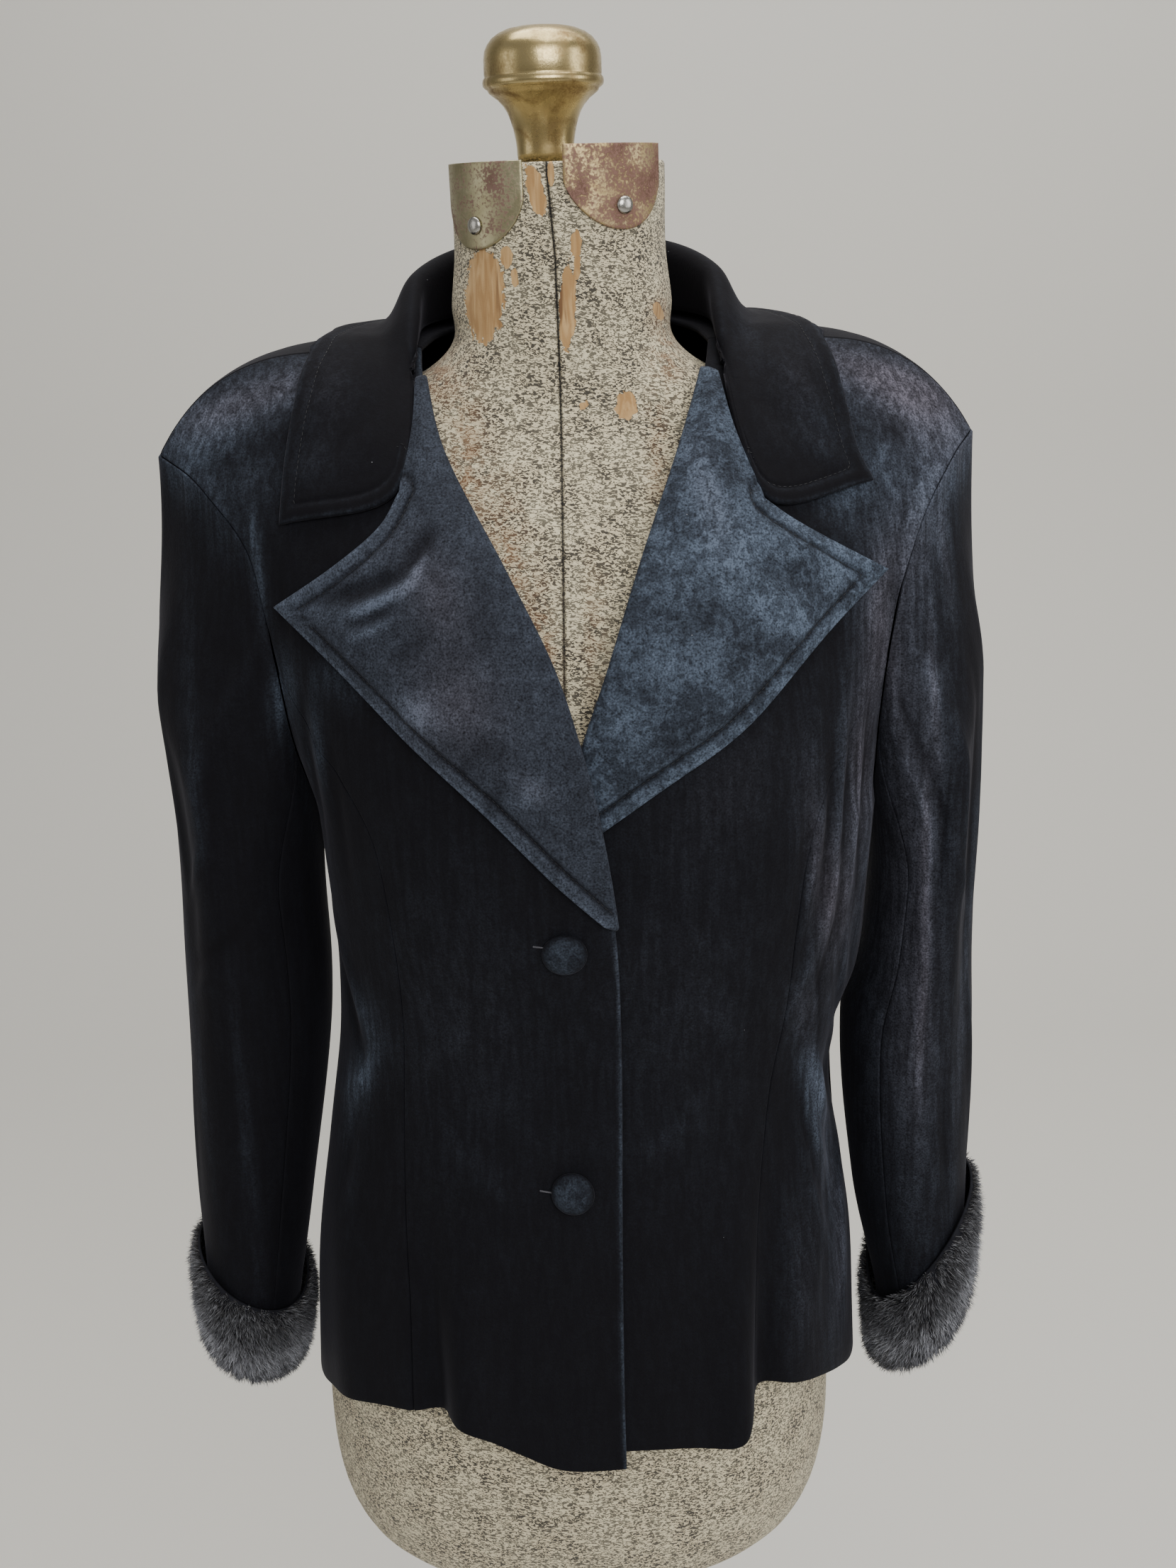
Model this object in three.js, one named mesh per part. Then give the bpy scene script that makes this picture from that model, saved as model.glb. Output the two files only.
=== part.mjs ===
import * as THREE from 'three';
import { mergeVertices } from 'three/addons/utils/BufferGeometryUtils.js';

// A fitted velvet jacket with fur cuffs, worn by a limbless dress form on a pole and a round foot.
// Millimetres, +Z up, the front faces -Y, and the origin is on the floor under the pole.
// The wearer's right side is at -X. Sizes called "out" are measured outwards from the jacket's middle.

// Cloth, seams and gaps
const CLOTH = 2.4;
const SLEEVE_CLOTH = 2.0;
const SEAM = 0.3;
const CLEAR = 0.5;

// The jacket's middle leans to the wearer's left towards the shoulders
const LEAN = 8;
const LEAN_FROM = 620;
const LEAN_TO = 1050;

// How square the rounds of the body are: 1 is an ellipse, less is squarer
const SQUARENESS = 0.86;

// The wearer's left front lies under the right one, and sinks in to make room for it
const UNDERLAP_DEPTH = 3.8;
const UNDERLAP_DEPTH_AT_LAPEL = 8.9;
const LAPEL_UNDERLAP_FROM = 890;
const LAPEL_UNDERLAP_TO = 945;
const UNDERLAP_END = 1075;
const UNDERLAP_END_FADE = 81;
const UNDERLAP_OUT = 26;
const UNDERLAP_FADE = 100;

// Heights along a panel, as shares of its way from the hem to the shoulder seam
const UNDERARM = 0.62;
const PANEL_LENGTH = 800;
const SHORTEST_STEP = 0.02;
const STEPS_BELOW_UNDERARM = 9;
const STEPS_ROUND_ARMHOLE = 10;

const RIGHT = { name: 'right', sign: -1 };
const LEFT = { name: 'left', sign: 1 };
const SIDES = [RIGHT, LEFT];

// A table: its columns' names, then a row of values for each line
function table(names, rows) {
  const columns = names.split(' ');
  return rows.map((row) => Object.fromEntries(row.map((value, i) => [columns[i], value])));
}

// Front panels, a row for each height from the hem to the shoulder seam. "edge" is the front edge and
// the lapel's roll line, "out" is the side seam and the armhole, "turn" is how far round the body the
// row bends in degrees, "droop" how late it falls, "princess" the share of its width at that seam.
const BODY_COLUMNS = 'up edgeRight edgeLeft edgeY edgeZ outRight outLeft outY outZ turn droop';
const FRONT_ROWS = table(`${BODY_COLUMNS} princess corner`, [
  [0.00, -22, -22, -160, 600, 172, 172, 5, 579, 90, 1, 0.585],
  [0.13, -22, -22, -152, 680, 166, 168, 3, 668, 90, 1, 0.60],
  [0.24, -22, -22, -142, 745, 156, 158, 1, 740, 90, 1, 0.645],
  [0.35, -22, -22, -134, 808, 147, 155, 0, 806, 90, 1, 0.68],
  [0.44, -21, -21, -137, 862, 145, 166, -1, 856, 90, 1, 0.68],
  [0.53, -18, -17, -147, 918, 147, 169, -3, 905, 90, 1, 0.69],
  [0.62, -9, -7, -152, 980, 151, 171, -5, 953, 90, 1, 0.72, 'out'],
  [0.68, 0, 3, -150, 1020, 153, 168, -36, 972, 80, 1, 0.78],
  [0.75, 13, 18, -141, 1062, 158, 166, -58, 1008, 72, 1.1, 0.90],
  [0.83, 36, 35, -120, 1108, 163, 170, -68, 1058, 62, 1.3, 1.032],
  [0.91, 66, 58, -80, 1162, 174, 184, -62, 1112, 50, 1.8, 1.1],
  [0.965, 76, 72, -45, 1198, 203, 206, -38, 1146, 42, 3, 1.1],
  [1.00, 78, 76, -22, 1212, 226, 221, -14, 1158, 36, 4.5, 1.1],
]);

// Back panels, the same way. Their edge is the middle of the back, then the neck from the "corner" on.
const BACK_ROWS = table(`${BODY_COLUMNS} corner`, [
  [0.00, 0, 0, 132, 588, 172, 172, 5, 579, 90, 1],
  [0.13, 0, 0, 117, 678, 166, 168, 3, 668, 90, 1],
  [0.24, 0, 0, 100, 745, 156, 158, 1, 740, 90, 1],
  [0.35, 0, 0, 86, 808, 147, 155, 0, 806, 90, 1],
  [0.44, 0, 0, 90, 862, 145, 166, -1, 856, 90, 1],
  [0.53, 0, 0, 100, 920, 147, 169, -3, 905, 90, 1],
  [0.62, 0, 0, 110, 985, 151, 171, -5, 953, 90, 1, 'out'],
  [0.68, 0, 0, 115, 1035, 154, 168, 26, 970, 80, 1],
  [0.75, 0, 0, 117, 1092, 159, 166, 50, 1008, 72, 1.2],
  [0.83, 0, 0, 109, 1156, 167, 172, 62, 1062, 62, 1.6],
  [0.90, 0, 0, 66, 1222, 184, 190, 56, 1112, 54, 2.2, 'edge'],
  [0.95, 46, 45, 52, 1221, 209, 209, 33, 1146, 46, 3],
  [0.98, 70, 69, 12, 1217, 225, 220, 7, 1161, 40, 4],
  [1.00, 78, 76, -22, 1212, 226, 221, -14, 1158, 36, 4.5],
]);

// Height of the hem, by how far out it is
const HEM_RIGHT = table('out z', [
  [-30, 597], [15, 598], [40, 609], [62, 621], [85, 624], [116, 621], [150, 607], [173, 583],
]);
const HEM_LEFT = table('out z', [
  [-30, 608], [49, 605], [88, 604], [104, 625], [122, 624], [153, 606], [173, 583],
]);
const HEM_BACK = table('out z', [
  [-10, 586], [55, 590], [100, 597], [140, 592], [173, 583],
]);
const HEM_BLEND = 0.26;

// Soft folds. Each swells (or sinks, below zero) by "swell" along a line "out" from the middle, over
// "width", between the heights "base" and "top", and is fullest halfway between these.
const FOLDS = table('rows side out width swell base top', [
  [FRONT_ROWS, RIGHT, 66, 15, 6, 430, 780],
  [FRONT_ROWS, RIGHT, 87, 10, -11, 430, 790],
  [FRONT_ROWS, RIGHT, 138, 13, 5, 440, 830],
  [FRONT_ROWS, LEFT, 87, 13, 7, 420, 800],
  [FRONT_ROWS, LEFT, 106, 10, -12, 420, 820],
  [FRONT_ROWS, LEFT, 132, 9, 4, 560, 960],
  [FRONT_ROWS, LEFT, 150, 8, -4, 620, 940],
  [BACK_ROWS, RIGHT, 58, 18, 7, 420, 800],
  [BACK_ROWS, RIGHT, 92, 14, -8, 430, 780],
  [BACK_ROWS, RIGHT, 134, 15, 5, 440, 800],
  [BACK_ROWS, LEFT, 48, 16, 5, 440, 760],
  [BACK_ROWS, LEFT, 84, 15, -7, 420, 800],
  [BACK_ROWS, LEFT, 122, 16, 7, 430, 820],
]);

// Lapels, a row for each height of the roll line, with the lapel's outer edge opposite it. The two
// corners are the tip and the notch, and from the notch up the edge is the seam with the collar.
const LAPEL_RIGHT = table('at roll out z corner', [
  [0.00, 924, -12, 926], [0.12, 945, 12, 950], [0.24, 972, 46, 987], [0.36, 1000, 86, 1023],
  [0.46, 1030, 121, 1055], [0.56, 1064, 157, 1084, 'all'], [0.66, 1096, 122, 1107],
  [0.74, 1124, 98, 1126], [0.82, 1152, 87, 1143, 'all'], [0.92, 1176, 81, 1172],
  [1.00, 1196, 80, 1195],
]);
const LAPEL_LEFT = table('at roll out z corner', [
  [0.00, 962, -3, 966], [0.12, 980, 18, 981], [0.24, 1002, 48, 1001], [0.36, 1026, 86, 1027],
  [0.46, 1052, 127, 1065], [0.56, 1080, 164, 1094, 'all'], [0.66, 1106, 132, 1112],
  [0.74, 1130, 112, 1124], [0.82, 1155, 98, 1134, 'all'], [0.92, 1178, 85, 1168],
  [1.00, 1196, 79, 1194],
]);
const LAPEL_EDGE_LIFT = CLOTH + 2.1;
const LAPEL_BULGE = 5;
const LAPEL_BULGE_FROM = 975;
const LAPEL_BULGE_TO = 1045;
const LAPEL_BULGE_SKEW = 1.15;
const LAPEL_NARROW = 1 / 3;

// The collar, a row from the middle of the back to its front corner. "fold" is its top edge, "fall"
// is halfway down to "edge", its outer edge. It stands up from the neck by "stand".
const COLLAR_ROWS = table('at foldOut foldY foldZ fallOut fallY fallZ edgeOut edgeY edgeZ round stand', [
  [0.00, 0, 62, 1264, 0, 80, 1244, 0, 88, 1208, 5, 33],
  [0.22, 50, 51, 1263, 66, 65, 1243, 80, 76, 1208, 5, 33],
  [0.44, 79, 10, 1250, 94, 18, 1230, 115, 28, 1216, 4.5, 24],
  [0.60, 82, -20, 1232, 102, -13, 1218, 129, -4, 1210, 4, 13.5],
  [0.76, 82, -36, 1216, 109, -46, 1194, 141, -40, 1182, 2.5, 7],
  [0.89, 82, -42, 1206, 101, -78, 1166, 149, -60, 1156, 1.5, 2.5],
]);
const COLLAR_END = { at: 1, foldOut: 82, foldY: -46, foldZ: 1200, round: 1, stand: 1.2 };
const COLLAR_TIPS = { right: { out: 153, y: -70, z: 1126 }, left: { out: 159, y: -68, z: 1140 } };
const COLLAR_LIFT = CLOTH + 1.8;
const COLLAR_RIDGE = { at: 0.58, width: 0.2, lift: 2.4 };
const COLLAR_ROLL = { neckOut: 0.3, pastOut: 1.6, pastDown: 0.5 };
const COLLAR_FREE = { across: 0.45, at: 0.7 };
const COLLAR_LIES = { across: 0.5, acrossFade: 0.3, at: 0.6, atFade: 0.4 };
const COLLAR_STEPS_ACROSS = 10;
const PAST_NOTCH = 2;

// Sleeves, a row for each height: the middle and half sizes of the round
const SLEEVE_RIGHT = table('z out halfOut y halfY', [
  [640, 207, 27.5, -25, 49], [700, 203, 34, -18, 51], [806, 196, 42, -9, 56],
  [860, 195, 43, -5, 60], [950, 198, 39, 0, 68], [1060, 203, 38, 0, 72], [1160, 200, 37, 0, 72],
]);
const SLEEVE_LEFT = table('z out halfOut y halfY', [
  [640, 209, 27, -25, 49], [700, 203.5, 34.5, -18, 51], [806, 199, 39, -9, 56],
  [860, 203, 32, -5, 61], [950, 204, 29, 0, 68], [1060, 196, 34, 0, 72], [1160, 192, 34, 0, 72],
]);
const SLEEVE_BLEND = 0.24;
const SLEEVE_STEPS_DOWN = 17;
const SLEEVE_STEPS_ROUND = 2 * STEPS_ROUND_ARMHOLE;
const UNDER_SLEEVE_STEPS = 6;
const SLEEVE_SEAM_GIRTH = 160;
const SHARED_RIM = 0.26;
const SLEEVE_FOLDS = table('side round width swell base top', [
  [RIGHT, 0.12, 0.035, -3, 760, 1080], [RIGHT, 0.24, 0.04, -4, 860, 1040],
  [LEFT, 0.13, 0.04, -4, 700, 1110], [LEFT, 0.26, 0.04, -3, 840, 1020],
]);

// Fur cuffs: the middle height of the lower edge, how much higher it is outwards, the same at the
// upper edge, and how far the fur stands off the sleeve
const FUR = {
  right: { lowZ: 612, lowTilt: 14, highZ: 657, highTilt: 20 },
  left: { lowZ: 612, lowTilt: 28, highZ: 664, highTilt: 38 },
};
const FUR_SECTION = table('off part', [
  [0.7, 0], [0.7, 1], [4.5, 1.1], [9, 0.92], [10.5, 0.5], [9.5, 0.1], [5, -0.08],
]);
const SLEEVE_BELOW_FUR = 1;

// Covered buttons on the overlapping front. The profiles of round things hold radii and heights.
const BUTTON_PROFILE = [
  [0, 0], [9.6, 0], [12, 1.6], [11.6, 3.2], [9, 4.9], [4.8, 5.8], [0, 6],
];
const BUTTON_FLAT = BUTTON_PROFILE[1][0];
const BUTTONS = table('name x z tilt seat', [
  ['button_top', -3, 910, 0, -0.3], ['button_low', -3, 765, 9, 0.3],
]);

// The dress form, a row for each height of its rounds
const FORM_ROWS = table('z half front back', [
  [477, 122, 105, 96], [482, 141, 121, 110], [498, 153, 131, 119], [530, 160, 137, 123],
  [570, 161, 137, 121], [620, 159, 134, 114], [680, 152, 128, 102], [740, 143, 120, 86],
  [800, 134, 113, 74], [860, 133, 117, 78], [920, 136, 128, 88], [980, 141, 134, 98],
  [1040, 146, 126, 104], [1080, 149, 112, 104], [1115, 149, 94, 98], [1145, 144, 76, 84],
  [1170, 126, 62, 65], [1186, 101, 56, 49], [1200, 73, 54, 40], [1214, 60, 53, 35],
  [1232, 60, 52, 40], [1260, 57, 52, 42], [1303, 57, 52, 43],
]);
const FORM_LOW_LEAN = -6;
const FORM_NECK_LEAN = 6;
const FORM_NECK_HALF = 57;
const FORM_LEAN_FROM = 600;
const FORM_LEAN_TO = 1230;
const FORM_STEPS_ROUND = 28;
const FORM_STEPS_UP = 32;
const FORM_STEPS_UNDER = 2;
const FORM_UNDERSIDE = [477, 482, 490, 504];

// Neck plates, knob, pole and foot
const PLATE = { thick: 1.4, halfWidth: 30, round: 30, tongue: 0.98, steps: 8, stations: [0, 0.33, 0.66, 1] };
const PLATES = table('name middle top bottom', [
  ['right', -42, 1304, 1261], ['left', 33, 1311, 1269],
]);
const RIVET_PROFILE = [[0, 0], [4.6, 0], [3.9, 1.1], [2.1, 1.8], [0, 2]];
const RIVET_ABOVE = 12;
const KNOB_PROFILE = [
  [0, 0], [13, 0], [15, 2.5], [15.2, 8], [16, 14], [18, 22], [21.5, 29], [27.5, 34.5], [29.5, 37],
  [31, 38], [32, 40.5], [31, 43], [31, 52], [29, 59], [23, 64.5], [13, 67.5], [0, 68.5],
];
const POLE_RADIUS = 8;
const SOCKET_PROFILE = [[0, 0], [13, 0], [13, 57], [10, 60], [0, 60]];
const FOOT_PROFILE = [[0, 0], [185, 0], [185, 7], [111, 17.6], [38, 22], [30, 26], [0, 26]];

const SEGMENTS = { button: 16, rivet: 12, knob: 24, foot: 32, pole: 16 };
const JOIN_WITHIN = 0.001;

const rad = THREE.MathUtils.degToRad;
const lerp = THREE.MathUtils.lerp;
const clamp01 = (value) => THREE.MathUtils.clamp(value, 0, 1);
const ease = (value) => THREE.MathUtils.smoothstep(value, 0, 1);
const signedPower = (value, power) => Math.sign(value) * Math.abs(value) ** power;
const sine = (angle) => signedPower(Math.sin(angle), SQUARENESS);
const cosine = (angle) => signedPower(Math.cos(angle), SQUARENESS);
const lean = (z) => LEAN * ease((z - LEAN_FROM) / (LEAN_TO - LEAN_FROM));
const placed = (side, out, y, z) => new THREE.Vector3(lean(z) + side.sign * out, y, z);

const velvet = new THREE.MeshStandardMaterial({ color: 0x0e1119, roughness: 0.85, metalness: 0 });
const lapelVelvet = new THREE.MeshStandardMaterial({ color: 0x243040, roughness: 0.8, metalness: 0 });
const fur = new THREE.MeshStandardMaterial({ color: 0x25262b, roughness: 0.95, metalness: 0 });
const tweed = new THREE.MeshStandardMaterial({ color: 0x857c6c, roughness: 0.95, metalness: 0 });
const brass = new THREE.MeshStandardMaterial({ color: 0x8d7b4c, roughness: 0.4, metalness: 1 });
const plateSteel = new THREE.MeshStandardMaterial({ color: 0x7d715e, roughness: 0.5, metalness: 0.8 });
const poleSteel = new THREE.MeshStandardMaterial({ color: 0x6d7780, roughness: 0.4, metalness: 0.9 });
const footIron = new THREE.MeshStandardMaterial({ color: 0x2a2b2d, roughness: 0.6, metalness: 0.5 });

// Steps over which slopes and normals are measured
const PLAN_STEP = 0.01;
const NORMAL_STEP = 0.004;
const GAP_STEP = 0.001;

const model = new THREE.Group();

// Tables: a smooth curve through one column. It breaks at a row whose "corner" is how the column's
// name begins, and at a row whose "corner" is "all".
function columnAt(rows, key, column, at) {
  let low = 0;
  while (low < rows.length - 2 && at > rows[low + 1][key]) low += 1;
  const high = low + 1;
  const span = rows[high][key] - rows[low][key];
  const breaks = (row) => row.corner === 'all' || (row.corner && column.startsWith(row.corner));
  const chord = (a, b) => (rows[b][column] - rows[a][column]) / (rows[b][key] - rows[a][key]);
  const slopeLow = low === 0 || breaks(rows[low]) ? chord(low, high) : chord(low - 1, high);
  const slopeHigh = high === rows.length - 1 || breaks(rows[high]) ? chord(low, high) : chord(low, high + 1);
  const t = (at - rows[low][key]) / span;
  const rise = 3 * t ** 2 - 2 * t ** 3;
  const chordPart = (1 - rise) * rows[low][column] + rise * rows[high][column];
  return chordPart + (t ** 3 - 2 * t ** 2 + t) * span * slopeLow + (t ** 3 - t ** 2) * span * slopeHigh;
}

// A closed wall between an outer sheet of points and the same sheet moved in along its normals
function wallGeometry(stepsAcross, stepsUp, thickness, outerAt) {
  const points = [];
  const width = stepsAcross + 1;
  const count = width * (stepsUp + 1);
  const inner = [];
  for (let j = 0; j <= stepsUp; j += 1) {
    for (let i = 0; i <= stepsAcross; i += 1) {
      const { point, normal } = outerAt(i / stepsAcross, j / stepsUp, i, j);
      points.push(point);
      inner.push(point.clone().addScaledVector(normal, -thickness));
    }
  }
  const faces = [];
  const quad = (a, b, c, d) => faces.push(a, b, c, a, c, d);
  for (let j = 0; j < stepsUp; j += 1) {
    for (let i = 0; i < stepsAcross; i += 1) {
      const a = j * width + i;
      quad(a, a + 1, a + width + 1, a + width);
      quad(count + a, count + a + width, count + a + width + 1, count + a + 1);
    }
  }
  for (let i = 0; i < stepsAcross; i += 1) {
    const top = stepsUp * width + i;
    quad(i + 1, i, count + i, count + i + 1);
    quad(top, top + 1, count + top + 1, count + top);
  }
  for (let j = 0; j < stepsUp; j += 1) {
    const left = j * width;
    const right = left + stepsAcross;
    quad(left, left + width, count + left + width, count + left);
    quad(right + width, right, count + right, count + right + width);
  }
  return solidGeometry([...points, ...inner], faces);
}

// An indexed geometry with its faces turned outwards
function solidGeometry(points, faces) {
  const volume = faces.reduce((sum, _, k) => {
    if (k % 3) return sum;
    const [a, b, c] = [points[faces[k]], points[faces[k + 1]], points[faces[k + 2]]];
    return sum + a.dot(b.clone().cross(c));
  }, 0);
  const outward = volume > 0 ? faces : [...faces].reverse();
  const geometry = new THREE.BufferGeometry();
  geometry.setAttribute('position', new THREE.Float32BufferAttribute(points.flatMap((p) => p.toArray()), 3));
  geometry.setIndex(outward);
  geometry.computeVertexNormals();
  return geometry;
}

function addPiece(name, geometry, material) {
  const mesh = new THREE.Mesh(geometry, material);
  mesh.name = name;
  model.add(mesh);
  return mesh;
}

// The jacket's body
function hemHeight(rows, side, out) {
  if (rows === BACK_ROWS) return columnAt(HEM_BACK, 'out', 'z', out);
  return columnAt(side === RIGHT ? HEM_RIGHT : HEM_LEFT, 'out', 'z', out);
}

// How full a fold is at a height, and at a distance beside its line
const fullness = (fold, z) => Math.sin(Math.PI * clamp01((z - fold.base) / (fold.top - fold.base))) ** 2;
const nearness = (beside, width) => Math.exp(-((beside / width) ** 2));

function foldSwell(rows, side, out, z) {
  const folds = FOLDS.filter((fold) => fold.rows === rows && fold.side === side);
  return folds.reduce((sum, fold) => (
    sum + fold.swell * fullness(fold, z) * nearness(out - fold.out, fold.width)), 0);
}

function underlap(side, out, z) {
  if (side === RIGHT || z > UNDERLAP_END) return 0;
  const deeper = ease((z - LAPEL_UNDERLAP_FROM) / (LAPEL_UNDERLAP_TO - LAPEL_UNDERLAP_FROM));
  const depth = lerp(UNDERLAP_DEPTH, UNDERLAP_DEPTH_AT_LAPEL, deeper);
  const ends = ease((UNDERLAP_END - z) / UNDERLAP_END_FADE);
  return depth * ends * (1 - ease((out - UNDERLAP_OUT) / (UNDERLAP_FADE - UNDERLAP_OUT)));
}

function rowAt(rows, side, up) {
  const sideways = side === RIGHT ? 'Right' : 'Left';
  const column = (name) => columnAt(rows, 'up', name, up);
  const turn = rad(Math.min(column('turn'), 90));
  const edge = column(`edge${sideways}`);
  const reach = column(`out${sideways}`);
  const start = Math.asin(signedPower(edge / reach * sine(turn), 1 / SQUARENESS));
  return { turn, edge, reach, start, edgeY: column('edgeY'), edgeZ: column('edgeZ'),
    outY: column('outY'), outZ: column('outZ'), droop: column('droop') };
}

function bodyPoint(rows, side, across, up) {
  const row = rowAt(rows, side, up);
  const angle = lerp(row.start, row.turn, across);
  const plan = (a) => {
    const depth = (cosine(a) - cosine(row.turn)) / (cosine(Math.max(row.start, 0)) - cosine(row.turn));
    return [row.reach * sine(a) / sine(row.turn), row.outY + (row.edgeY - row.outY) * depth];
  };
  let [out, y] = plan(angle);
  const along = Math.max((out - row.edge) / (row.reach - row.edge), 0);
  const hemShare = ease(1 - up / HEM_BLEND);
  const plainHem = lerp(rows[0].edgeZ, rows[0].outZ, along);
  const drop = (row.outZ - row.edgeZ) * along ** row.droop;
  const z = row.edgeZ + drop + hemShare * (hemHeight(rows, side, out) - plainHem);
  const [nextOut, nextY] = plan(angle + PLAN_STEP);
  const [lastOut, lastY] = plan(angle - PLAN_STEP);
  const facing = rows === FRONT_ROWS ? 1 : -1;
  const normal = new THREE.Vector2(facing * (nextY - lastY), -facing * (nextOut - lastOut)).normalize();
  const swell = foldSwell(rows, side, out, z);
  const sunk = rows === FRONT_ROWS ? underlap(side, out, z) : 0;
  return placed(side, out + normal.x * swell, y + normal.y * swell + sunk, z);
}

// The outward normal. Past the shoulder seam it reads the other panel, so that both share it there.
function bodyNormal(rows, side, across, up) {
  const other = rows === FRONT_ROWS ? BACK_ROWS : FRONT_ROWS;
  const read = (a, b) => (b > 1 ? bodyPoint(other, side, a, 2 - b) : bodyPoint(rows, side, a, b));
  const sideways = read(across + NORMAL_STEP, up).sub(read(across - NORMAL_STEP, up));
  const upwards = read(across, up + NORMAL_STEP).sub(read(across, up - NORMAL_STEP));
  const facing = side.sign * (rows === FRONT_ROWS ? 1 : -1);
  return sideways.cross(upwards).normalize().multiplyScalar(facing);
}

function princessAcross(side, up) {
  const row = rowAt(FRONT_ROWS, side, up);
  const share = Math.min(columnAt(FRONT_ROWS, 'up', 'princess', up), 1);
  const angle = Math.asin(Math.min((share * sine(row.turn)) ** (1 / SQUARENESS), 1));
  return share === 1 ? 1 : (angle - row.start) / (row.turn - row.start);
}

function upAtStep(step) {
  if (step <= STEPS_BELOW_UNDERARM) return UNDERARM * step / STEPS_BELOW_UNDERARM;
  return UNDERARM + (1 - UNDERARM) * (step - STEPS_BELOW_UNDERARM) / STEPS_ROUND_ARMHOLE;
}

// The share of a panel's width that half a seam's gap takes up
function seamShare(rows, side, across, up) {
  const beside = across + (across < 0.5 ? GAP_STEP : -GAP_STEP);
  const length = bodyPoint(rows, side, across, up).distanceTo(bodyPoint(rows, side, beside, up));
  return SEAM / 2 * GAP_STEP / Math.max(length, SHORTEST_STEP);
}

function bodyPanel(name, rows, side, columns, lastStep, from, to) {
  const shoulderGap = SEAM / 2 / PANEL_LENGTH;
  const geometry = wallGeometry(columns.length - 1, lastStep, CLOTH, (_, __, i, j) => {
    const up = Math.min(upAtStep(j), 1 - shoulderGap);
    const across = lerp(from(up), to(up), columns[i]);
    return { point: bodyPoint(rows, side, across, up), normal: bodyNormal(rows, side, across, up) };
  });
  addPiece(name, geometry, velvet);
}

const evenColumns = (steps) => Array.from({ length: steps + 1 }, (_, i) => i / steps);
const FRONT_COLUMNS = [0, 0.13, 0.26, 0.39, 0.51, 0.61, 0.69, 0.76, 0.83, 0.89, 0.95, 1];
const SIDE_FRONT_COLUMNS = evenColumns(6);
const BACK_COLUMNS = evenColumns(11);
const ALL_STEPS = STEPS_BELOW_UNDERARM + STEPS_ROUND_ARMHOLE;
const SIDE_PANEL_STEPS = STEPS_BELOW_UNDERARM + STEPS_ROUND_ARMHOLE / 2;

for (const side of SIDES) {
  const gap = (rows, across, up) => seamShare(rows, side, across, up);
  const seam = (up) => princessAcross(side, up);
  const sideSeam = (rows) => (up) => (up <= UNDERARM ? 1 - gap(rows, 1, up) : 1);
  const beforeSeam = (up) => (seam(up) < 1 ? seam(up) - gap(FRONT_ROWS, seam(up), up) : 1);
  const pastSeam = (up) => seam(up) + gap(FRONT_ROWS, seam(up), up);
  const middleSeam = (up) => gap(BACK_ROWS, 0, up);
  bodyPanel(`front_${side.name}`, FRONT_ROWS, side, FRONT_COLUMNS, ALL_STEPS, () => 0, beforeSeam);
  bodyPanel(`side_front_${side.name}`, FRONT_ROWS, side, SIDE_FRONT_COLUMNS, SIDE_PANEL_STEPS,
    pastSeam, sideSeam(FRONT_ROWS));
  bodyPanel(`back_${side.name}`, BACK_ROWS, side, BACK_COLUMNS, ALL_STEPS,
    middleSeam, sideSeam(BACK_ROWS));
}

// Sleeves
const ALMOST_OUT = 0.999;
const ALMOST_UP = 0.9998;
const ROUND_STEP = 0.01;

function armholeEdge(side, round) {
  const share = 2 * Math.abs(round - Math.round(round));
  const up = 1 - (1 - UNDERARM) * share;
  const rows = round - Math.floor(round) < 0.5 ? FRONT_ROWS : BACK_ROWS;
  const normal = bodyNormal(rows, side, ALMOST_OUT, Math.min(up, ALMOST_UP));
  return { point: bodyPoint(rows, side, 1, up), normal };
}

function armholePoint(side, round) {
  const { point, normal } = armholeEdge(side, round);
  const along = armholeEdge(side, round + ROUND_STEP).point.sub(armholeEdge(side, round - ROUND_STEP).point);
  const away = along.cross(normal).normalize().multiplyScalar(side.sign);
  return point.addScaledVector(normal, CLEAR).addScaledVector(away, -CLEAR);
}

function cuffHeight(side, angle, part) {
  const band = FUR[side.name];
  const low = band.lowZ + band.lowTilt * Math.cos(angle);
  const high = band.highZ + band.highTilt * Math.cos(angle);
  return lerp(low, high, part);
}

// A point on the sleeve's round at a height, moved off it by "off"
function sleeveRound(side, angle, z, off) {
  const rows = side === RIGHT ? SLEEVE_RIGHT : SLEEVE_LEFT;
  const column = (name) => columnAt(rows, 'z', name, z);
  const [halfOut, halfY] = [column('halfOut'), column('halfY')];
  const normal = new THREE.Vector2(Math.cos(angle) / halfOut, -Math.sin(angle) / halfY).normalize();
  const folds = SLEEVE_FOLDS.filter((fold) => fold.side === side).reduce((sum, fold) => {
    const beside = angle / (2 * Math.PI) - fold.round;
    return sum + fold.swell * fullness(fold, z) * nearness(beside - Math.round(beside), fold.width);
  }, 0);
  const out = column('out') + halfOut * Math.cos(angle) + normal.x * (off + folds);
  return placed(side, out, column('y') - halfY * Math.sin(angle) + normal.y * (off + folds), z);
}

function sleevePoint(side, round, down) {
  const angle = 2 * Math.PI * round;
  const start = armholePoint(side, round);
  const z = lerp(start.z, cuffHeight(side, angle, 0) + SLEEVE_BELOW_FUR, down);
  const free = sleeveRound(side, angle, z, 0);
  const share = ease(down / SLEEVE_BLEND);
  return new THREE.Vector3(lerp(start.x, free.x, share), lerp(start.y, free.y, share), z);
}

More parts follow.
